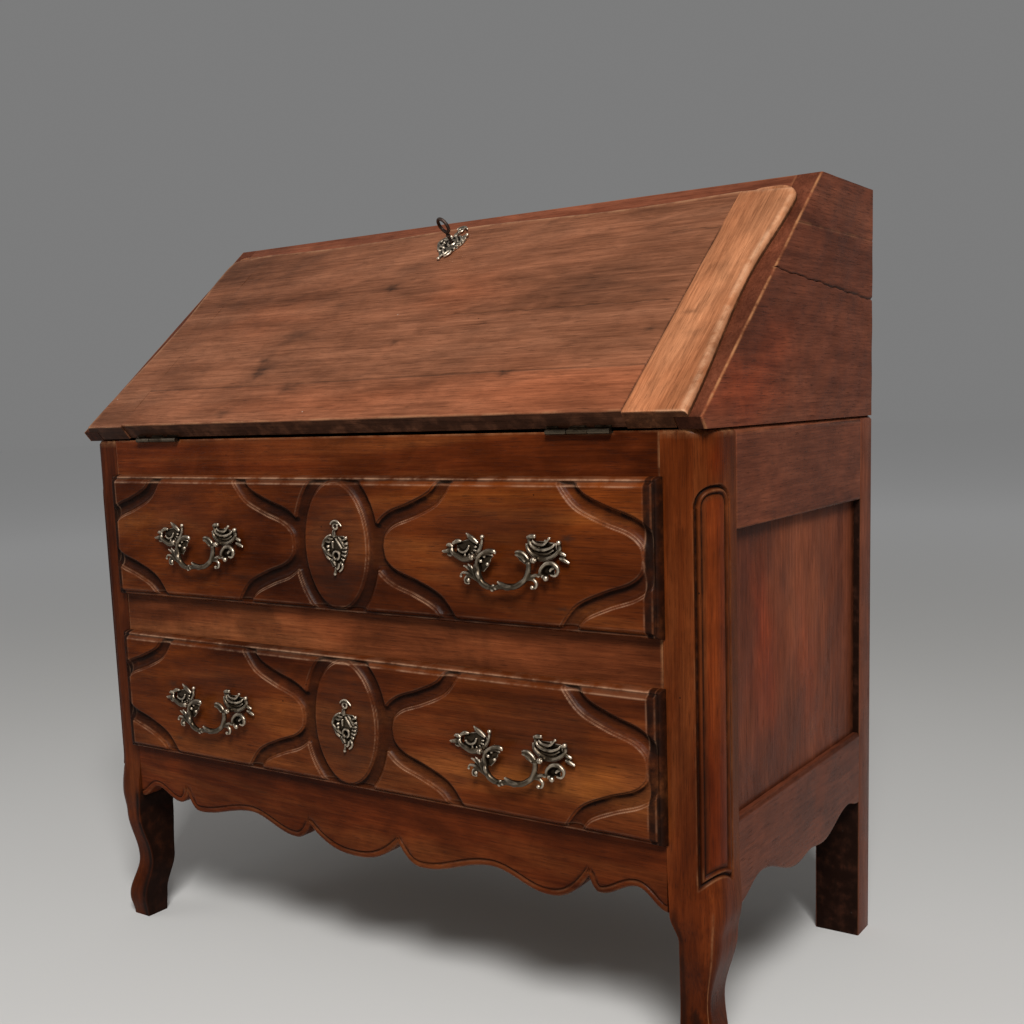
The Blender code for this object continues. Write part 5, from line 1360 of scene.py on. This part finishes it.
def left_mount():
    """Shell with a ribbed lip, a spur over it and a tail of leaves."""
    rim = ((-31, 22), (-33, 12), (-39, 3), (-47, -2), (-58, -4), (-67, -1), (-74, 3), (-76, 8))
    shapes = [limb(rim, (1.4, 1.6, 2.4, 3.0, 3.2, 3.0, 2.6, 1.8), 5.0),
              web(((-70, 8), (-59, 8), (-46, 12), (-38, 16)), (6.0, 10.0, 9.0, 5.0), 2.0),
              limb(((-68, 8), (-64, 5), (-58, 4), (-53, 7), (-51, 12)), (0.9, 1.4, 1.6, 1.4, 0.8), 4.6),
              limb(((-54, 27), (-49, 23), (-43, 19), (-37, 15)), (0.9, 2.6, 2.8, 1.4), 5.2, 0.8),
              limb(((-74, 14), (-67, 17), (-61, 17)), (1.8, 2.4, 1.0), 4.8),
              limb(((-75, 6), (-81, 5), (-88, 4), (-92, 4)), (2.4, 2.6, 1.8, 0.9), 3.6, 0.8),
              limb(((-75, 9), (-80, 12), (-85, 11)), (2.2, 2.4, 1.0), 3.6, 0.8),
              limb(((-73, 2), (-79, 0), (-84, 0)), (2.0, 2.0, 0.9), 3.2, 0.8),
              knob(-31, 23, 5.2, 2.3)]
    for turn in np.radians((-100, -72, -46, -21, 2)):
        ends = [(-54 + k * 12.5 * math.cos(turn), 10.5 + k * 9.5 * math.sin(turn)) for k in (0.85, 1.2)]
        shapes.append(limb(ends, (0.8, 1.2), 5.8))
    return shapes + lug(LUGS[0])


def right_mount():
    """Shell of ridges between two rolled tips, with beads over it and drops beside it."""
    rim = ((31, 18), (32, 11), (38, 5), (47, 1), (57, 1), (67, 5), (74, 12), (73, 19))
    shapes = [limb(rim, (1.5, 2.2, 2.5, 2.6, 2.6, 2.3, 2.0, 2.0), 5.2),
              limb(((37, 12), (45, 6.5), (57, 6.5), (66, 11)), (0.8, 1.2, 1.2, 0.8), 4.8),
              limb(((35, 18), (39, 14), (46, 11), (55, 11), (64, 14), (68, 18)),
                   (1.2, 1.8, 1.9, 1.9, 1.5, 1.0), 6.0),
              limb(((38, 21), (43, 17.5), (50, 16.5), (55, 18), (60, 23)), (1.0, 1.6, 1.8, 1.5, 1.2), 5.6),
              web(((37, 15), (51, 11), (69, 13)), (6.0, 10.0, 6.0), 2.0),
              limb(((31, 24), (37, 25.5), (43, 26)), (1.6, 2.6, 1.8), 5.4, 0.9),
              limb(((34, 24), (34, 20), (36, 17)), (1.8, 1.8, 1.6), 5.0),
              limb(((73, 8), (77, 7), (82, 5)), (1.6, 2.2, 1.2), 4.2),
              limb(((73, 2), (79, 0), (86, -3)), (1.6, 2.3, 1.2), 4.2),
              knob(56, 21, 5.6, 1.7), knob(61, 24, 5.4, 1.7), knob(73.5, 19.5, 5.6, 2.7)]
    return shapes + lug(LUGS[1])


def bail():
    """Drooping bar with a leaf head at each end, a tie of beads in its bow and scrolls outside it."""
    bow = ((-33, -7), (-32, -14), (-30, -23), (-27, -29), (-20, -33), (-12, -34), (-1, -32), (9, -32),
           (19, -31), (27, -27), (34, -21), (38, -11), (38.5, -3), (36, 3), (30, 7.5), (25, 8.5), (20, 8))
    bow_radii = (1.8, 2.0, 2.4, 2.7, 2.6, 2.2, 2.6, 2.8, 2.6, 2.5, 2.4, 2.3, 2.1, 2.1, 2.4, 2.2, 1.0)
    shapes = [limb(bow[:13], [1.2 * r for r in bow_radii[:13]], PIVOT),
              limb(bow[11:], bow_radii[11:], PIVOT),
              limb(((-31, -18), (-33, -7), (-30, 1), (-23, 6), (-15, 8.5), (-8, 8), (-6, 5)),
                   (1.6, 1.9, 1.9, 2.2, 2.5, 2.2, 1.0), PIVOT + 0.8),
              limb(((-25, 3), (-17, 5), (-10, 3)), (1.2, 1.7, 0.9), PIVOT),
              web(((-29, -16), (-25, -6), (-19, 2), (-12, 4)), (4.0, 8.0, 6.5, 3.0), PIVOT - 3.0),
              limb(((-32, -15), (-31, -20), (-28, -27)), (1.2, 2.6, 1.4), PIVOT + 1.6),
              limb(((-42, -10), (-38, -18), (-34, -25), (-28, -30)), (0.9, 1.7, 2.1, 2.0), PIVOT - 0.4),
              limb(((-4, -26), (1, -29), (9, -31), (20, -31)), (1.2, 2.5, 2.6, 1.0), PIVOT + 2.0),
              limb(((-1, -31), (7, -34.5), (16, -34)), (1.0, 1.6, 0.9), PIVOT + 1.0),
              limb(((21, 5), (26, 5), (31, 3), (35, -2)), (0.9, 1.8, 2.0, 1.6), PIVOT + 1.4),
              web(((22, 5), (28, 2), (35, -4)), (3.0, 5.0, 3.0), PIVOT - 2.4),
              limb(((-54, -10), (-47, -13), (-40, -19), (-35, -25)), (0.9, 1.6, 1.9, 1.8), PIVOT - 1.2, 0.8),
              limb(((-47, -8), (-41, -13), (-36, -21)), (0.9, 1.5, 1.7), PIVOT - 0.6, 0.8),
              limb(((-37, -8), (-36, -14), (-33, -21)), (0.9, 1.4, 1.6), PIVOT, 0.8),
              web(((-48, -13), (-40, -19), (-33, -26)), (3.0, 5.0, 3.0), PIVOT - 3.0),
              limb(((-34, -26), (-42, -22), (-48, -19), (-54, -18.5), (-58, -21)),
                   (2.2, 2.0, 1.8, 1.5, 1.0), PIVOT - 1.0),
              limb(((-40, -24), (-46, -22), (-50.5, -25), (-50.5, -30), (-45, -31)),
                   (1.5, 1.7, 1.7, 1.5, 1.0), PIVOT - 0.8),
              knob(-46.5, -27, PIVOT - 0.8, 2.3), knob(-57.5, -23, PIVOT - 1.4, 1.8),
              limb(((33, -23), (41, -19), (48, -17), (52, -18.5)), (2.0, 2.1, 1.9, 1.4), PIVOT - 0.8),
              limb(((36, -22), (43, -22), (47.5, -26), (46, -31), (41, -31)),
                   (1.6, 1.8, 1.8, 1.6, 1.3), PIVOT - 0.6),
              limb(((52, -18), (53, -11), (57, -6), (62, -3), (69, -3), (75, -7), (76, -12), (72, -16.5),
                    (66, -16)), (1.8, 1.9, 2.0, 2.2, 2.3, 2.1, 1.8, 1.5, 1.1), PIVOT - 1.4),
              limb(((73, -7), (68, -9), (65, -12)), (1.2, 1.5, 1.2), PIVOT - 1.2),
              web(((54, -16), (62, -10), (71, -10)), (4.0, 7.0, 5.0), PIVOT - 3.6),
              knob(60, -20, PIVOT - 1.0, 3.0), knob(56.5, -18, PIVOT - 0.8, 2.2),
              knob(42, -31, PIVOT - 0.2, 2.3), knob(-27, -4, PIVOT + 0.4, 2.0),
              knob(-18, -7, PIVOT + 0.2, 2.1), knob(-22, 1.5, PIVOT + 0.4, 1.6),
              knob(-12, -36, PIVOT + 0.8, 2.5), knob(-7, -34, PIVOT + 1.2, 2.4),
              knob(-10, -31.5, PIVOT + 1.6, 1.8)]
    for inner, eye in zip((-31, 36), LUGS):
        shapes.append(bar([(inner, 0, PIVOT), (eye + math.copysign(4, eye), 0, PIVOT)], [2.0, 2.0]))
    return shapes


def make_handles():
    castings = {"mount_left": on_wall(cast(left_mount(), 4.0)),
                "mount_right": on_wall(cast(right_mount(), 4.0)),
                "bail": on_wall(cast(bail(), PIVOT - 1.4))}
    for row, (low, high) in ROWS:
        for word, side in SIDES:
            place = (side * HANDLE_X, FIELD, (low + high) / 2 - HANDLE_DROP)
            for part, casting in castings.items():
                name = "handle_%s_%s_%s" % (row, word, part)
                body = "bail_%s_%s" % (row, word) if part == "bail" else row + "_drawer"
                piece(name + "_cast", body, moved(casting, place), brass, [name], 80)


# Escutcheons: a pear of scrolls round a keyhole, under a ring
ESCUTCHEON_DROP = 0.003
FALL_PEAR = 1.08
KEY_UP = FALL_INNER_TOP - 0.0315
HOLE_RADIUS = 3.4          # keyhole of the plate, with a slot below it
SLOT_HALF = 1.6
SLOT_LONG = 9
HOLE_FLOOR = 0.0006


def escutcheon(key_z):
    """Plate of shell ribs and scrolls round a keyhole at a height, under a capped loop."""
    left = ((-8, 17), (-14, 14), (-19, 9), (-22, 3), (-21, -1), (-18, -7), (-15, -12), (-11, -15))
    shapes = [flat_bar(((0, 16), (0, 6), (-1, -8), (-1, -24)), (13, 20, 18, 9), 1.2, 0.09),
              flat_bar(((-8, 30), (-5, 33), (1, 35), (6, 33), (11, 28)), (1.2, 1.6, 1.8, 1.6, 1.2), 3.4),
              ring(0, 28, 3.0, 3.6, 1.5),
              flat_bar(((-3, 23), (-3, 18), (-2, 14)), (2.2, 3.2, 2.6), 2.8, 0.7),
              flat_bar(left, (1.4, 2.2, 2.4, 2.2, 2.0, 2.0, 1.8, 1.2), 3.0),
              flat_bar(((-19, 10), (-12, 8), (-7, 9)), (1.6, 1.8, 0.9), 3.6),
              flat_bar(((-14, 14), (-9, 12), (-5, 12)), (1.6, 1.6, 0.9), 3.4),
              flat_bar(((-22, 1), (-17, -4), (-13, -7), (-7, -10)), (1.4, 1.9, 1.9, 1.4), 3.8),
              flat_bar(((-5, 9), (-5, 5), (-5, 0)), (1.2, 1.6, 1.2), 3.6),
              flat_bar(((0, 13), (6, 6), (10, 0)), (1.0, 1.7, 1.2), 4.0),
              flat_bar(((5, 15), (10, 10), (14, 3)), (1.0, 1.8, 1.2), 3.8),
              flat_bar(((-8, -14), (-4, -18), (-2, -22)), (1.8, 1.9, 1.2), 3.4),
              flat_bar(((5, -19), (3, -24), (0, -27)), (1.6, 1.8, 1.4), 3.6),
              flat_bar(((10, -21), (8, -26), (3, -30)), (1.6, 1.6, 1.2), 3.0),
              flat_bar(((-2, -24), (-3, -28), (-4, -32)), (1.6, 1.6, 1.8), 3.0),
              ring(0, key_z, 3.4, 5.2, 1.6), bead(-13, 2, 3.6, 2.2), bead(-13, -3, 3.4, 2.0),
              bead(18, 14, 3.8, 2.4), bead(-4, -33, 2.8, 2.4)]
    inner = ((10, 10), (12, 5), (11, 0), (10, -4), (9, -8), (8, -12), (6, -17))
    outer = ((18, 13), (20, 7), (19, 1.5), (17.5, -4), (16, -9.5), (13, -15), (10, -21))
    for near, far in zip(inner, outer):
        shapes.append(flat_bar((near, far), (1.1, 2.0), 3.3))
    part = cast(shapes, 1.8)
    x, z = part.points[:, 0] / MM, part.points[:, 1] / MM - key_z
    slot = (np.abs(x) < SLOT_HALF) & (z < 0) & (z > -SLOT_LONG)
    hole = (np.hypot(x, z) < HOLE_RADIUS) | slot
    part.points[hole, 2] = np.minimum(part.points[hole, 2], HOLE_FLOOR)
    # the shallow keyhole's floor painted black as the shade of the hole
    part.values["hollow"][hole] = 1.0
    part.values["wear_and_highlight"][hole] = 0.0
    return part


def make_escutcheons():
    plate = on_wall(escutcheon(-9.0))
    for row, (low, high) in ROWS:
        place = (KEYHOLE_X, FIELD, (low + high) / 2 - ESCUTCHEON_DROP)
        piece(row + "_escutcheon_cast", row + "_drawer", moved(plate, place), brass,
              [row + "_drawer_escutcheon"], 80)
    part = escutcheon(0.0)
    # the fall's plate lighter all over as a painted reflection of light from above
    part.values["wear_and_highlight"][part.values["hollow"] < 0.5] += 0.35
    x, z, out = part.points.T
    points = on_fall(LOCK_X + FALL_PEAR * x, KEY_UP + FALL_PEAR * z, FALL_FACE + GAP + out)
    plate = shape(points, part.faces, part.values)
    piece("fall_escutcheon_cast", "fall", plate, brass, ["fall_escutcheon"], 80)


# Key in the fall: shank with a collar, ring bow and the bit inside the lock
KEY_OUT = 0.0215
BOW_RADIUS = 0.0105
BOW_WIRE = 0.0021
BOW_TURN = math.radians(-22)
KEY_INNER = 0.0045
COLLAR = (0, 13, 14.5, 16.5, 18)             # shank from the face out to its collar and past it


def make_key():
    face = FALL_FACE / MM
    top = face + KEY_OUT / MM
    inner = KEY_INNER / MM
    shank = [(0, 0, inner)] + [(0, 0, face + out) for out in COLLAR] + [(0, 0, top)]
    sideways = np.array((math.cos(BOW_TURN), math.sin(BOW_TURN), 0))
    edgeways = (-math.sin(BOW_TURN), math.cos(BOW_TURN), 0)
    middle = np.array((0, 0, top + BOW_RADIUS / MM))
    turns = np.linspace(0, 2 * np.pi, 25)
    outwards = np.array(OUTWARDS)
    bow = [middle + BOW_RADIUS / MM * (math.sin(a) * sideways - math.cos(a) * outwards) for a in turns]
    bit = [(0, down, inner + 1.5) for down in (-2, -6, -9)]
    shapes = [bar(shank, (2.4, 2.4, 2.4, 3.4, 3.4, 2.4, 2.2), up=(1, 0, 0)),
              bar(bow, [1.2 * BOW_WIRE / MM] * len(bow), up=edgeways, ends=False, soft=2),
              bar(bit, (1.0, 1.0, 1.0), up=(1, 0, 0))]
    whole = cast(shapes, 0.0)
    x, z, out = whole.points.T
    values = dict(whole.values, hollow=0.5 * whole.values["hollow"])
    part = shape(on_fall(LOCK_X + x, KEY_UP + z, out), whole.faces, values)
    piece("key_worn", "key", part, iron, ["key"], 80)


# Metal parts that keep their CAD shape
def dress_metal():
    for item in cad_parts.values():
        if item.hide_render:
            continue
        used = iron if item.data.materials and "iron" in item.data.materials[0].name else brass
        item.data.materials.clear()
        item.data.materials.append(used)


# Floor, light and camera
CAMERA_PLACE = Vector((1.0561, FIELD - 1.1629, 0.7668))
CAMERA_YAW = math.radians(34.90)
CAMERA_PITCH = math.radians(-8.08)
CAMERA_ROLL = math.radians(-2.04)
CAMERA_LENS = 43.58
CAMERA_SHIFT = (0.0113, 0.0676)
FLOOR_TONE = (0.58, 0.57, 0.55, 1)
FAR_TONE = (0.98, 0.98, 0.98, 1)
FLOOR_REACH = 30.0
FLOOR_NEAR = 1.6           # from here to FLOOR_FAR the floor turns to its far tone, near the world's grey
FLOOR_FAR = 7.0
WORLD_STRENGTH = 0.20
AIM = Vector((0, 0, 0.5))
# Name, place, size and power
LIGHTS = (("key", (1.8, -2.3, 3.1), 1.1, 172), ("fill", (-2.6, -1.8, 1.8), 2.0, 14))


def make_camera():
    yaw, pitch, roll = CAMERA_YAW, CAMERA_PITCH, CAMERA_ROLL
    level = Vector((-math.sin(yaw), math.cos(yaw), 0))
    right = Vector((math.cos(yaw), math.sin(yaw), 0))
    forward = math.cos(pitch) * level + math.sin(pitch) * Vector((0, 0, 1))
    up = -math.sin(pitch) * level + math.cos(pitch) * Vector((0, 0, 1))
    across = math.cos(roll) * right + math.sin(roll) * up
    above = -math.sin(roll) * right + math.cos(roll) * up
    camera = linked("camera", bpy.data.cameras.new("camera"))
    camera.data.lens = CAMERA_LENS
    camera.data.shift_x, camera.data.shift_y = CAMERA_SHIFT
    turn = Matrix((across, above, -forward)).transposed().to_4x4()
    camera.matrix_world = Matrix.Translation(CAMERA_PLACE) @ turn
    bpy.context.scene.camera = camera


def make_floor():
    mesh = bpy.data.meshes.new("floor")
    far = FLOOR_REACH
    mesh.from_pydata([(-far, -far, 0), (far, -far, 0), (far, far, 0), (-far, far, 0)], [], [(0, 1, 2, 3)])
    floor = linked("floor", mesh)
    p = Paint("floor")
    away = p.add("VectorMath", {0: p.place()}, operation="LENGTH").outputs["Value"]
    tone = p.mix(p.span(away, FLOOR_NEAR, FLOOR_FAR), FLOOR_TONE, FAR_TONE)
    p.put(p.shader.inputs["Base Color"], tone)
    p.shader.inputs["Specular IOR Level"].default_value = 0.0
    p.shader.inputs["Roughness"].default_value = 0.9
    mesh.materials.append(p.material)


def make_light():
    world = bpy.data.worlds.new("studio")
    world.use_nodes = True
    world.node_tree.nodes["Background"].inputs["Color"].default_value = (1, 1, 1, 1)
    world.node_tree.nodes["Background"].inputs["Strength"].default_value = WORLD_STRENGTH
    bpy.context.scene.world = world
    for name, place, size, power in LIGHTS:
        lamp = linked(name, bpy.data.lights.new(name, "AREA"))
        lamp.data.size = size
        lamp.data.energy = power
        lamp.location = place
        lamp.rotation_euler = (AIM - Vector(place)).to_track_quat("-Z", "Y").to_euler()
    bpy.context.scene.view_settings.view_transform = "Standard"


make_camera()
make_floor()
make_light()
make_boards()
make_rear_stiles()
make_side_panels()
make_desk_sides()
make_drawer_front("upper", UPPER_Z, 0.4)
make_drawer_front("lower", LOWER_Z, 2.9)
make_fall_board()
make_fall_cleats()
make_fall_hinges()
make_front_stiles()
make_aprons()
make_handles()
make_escutcheons()
make_key()
dress_metal()
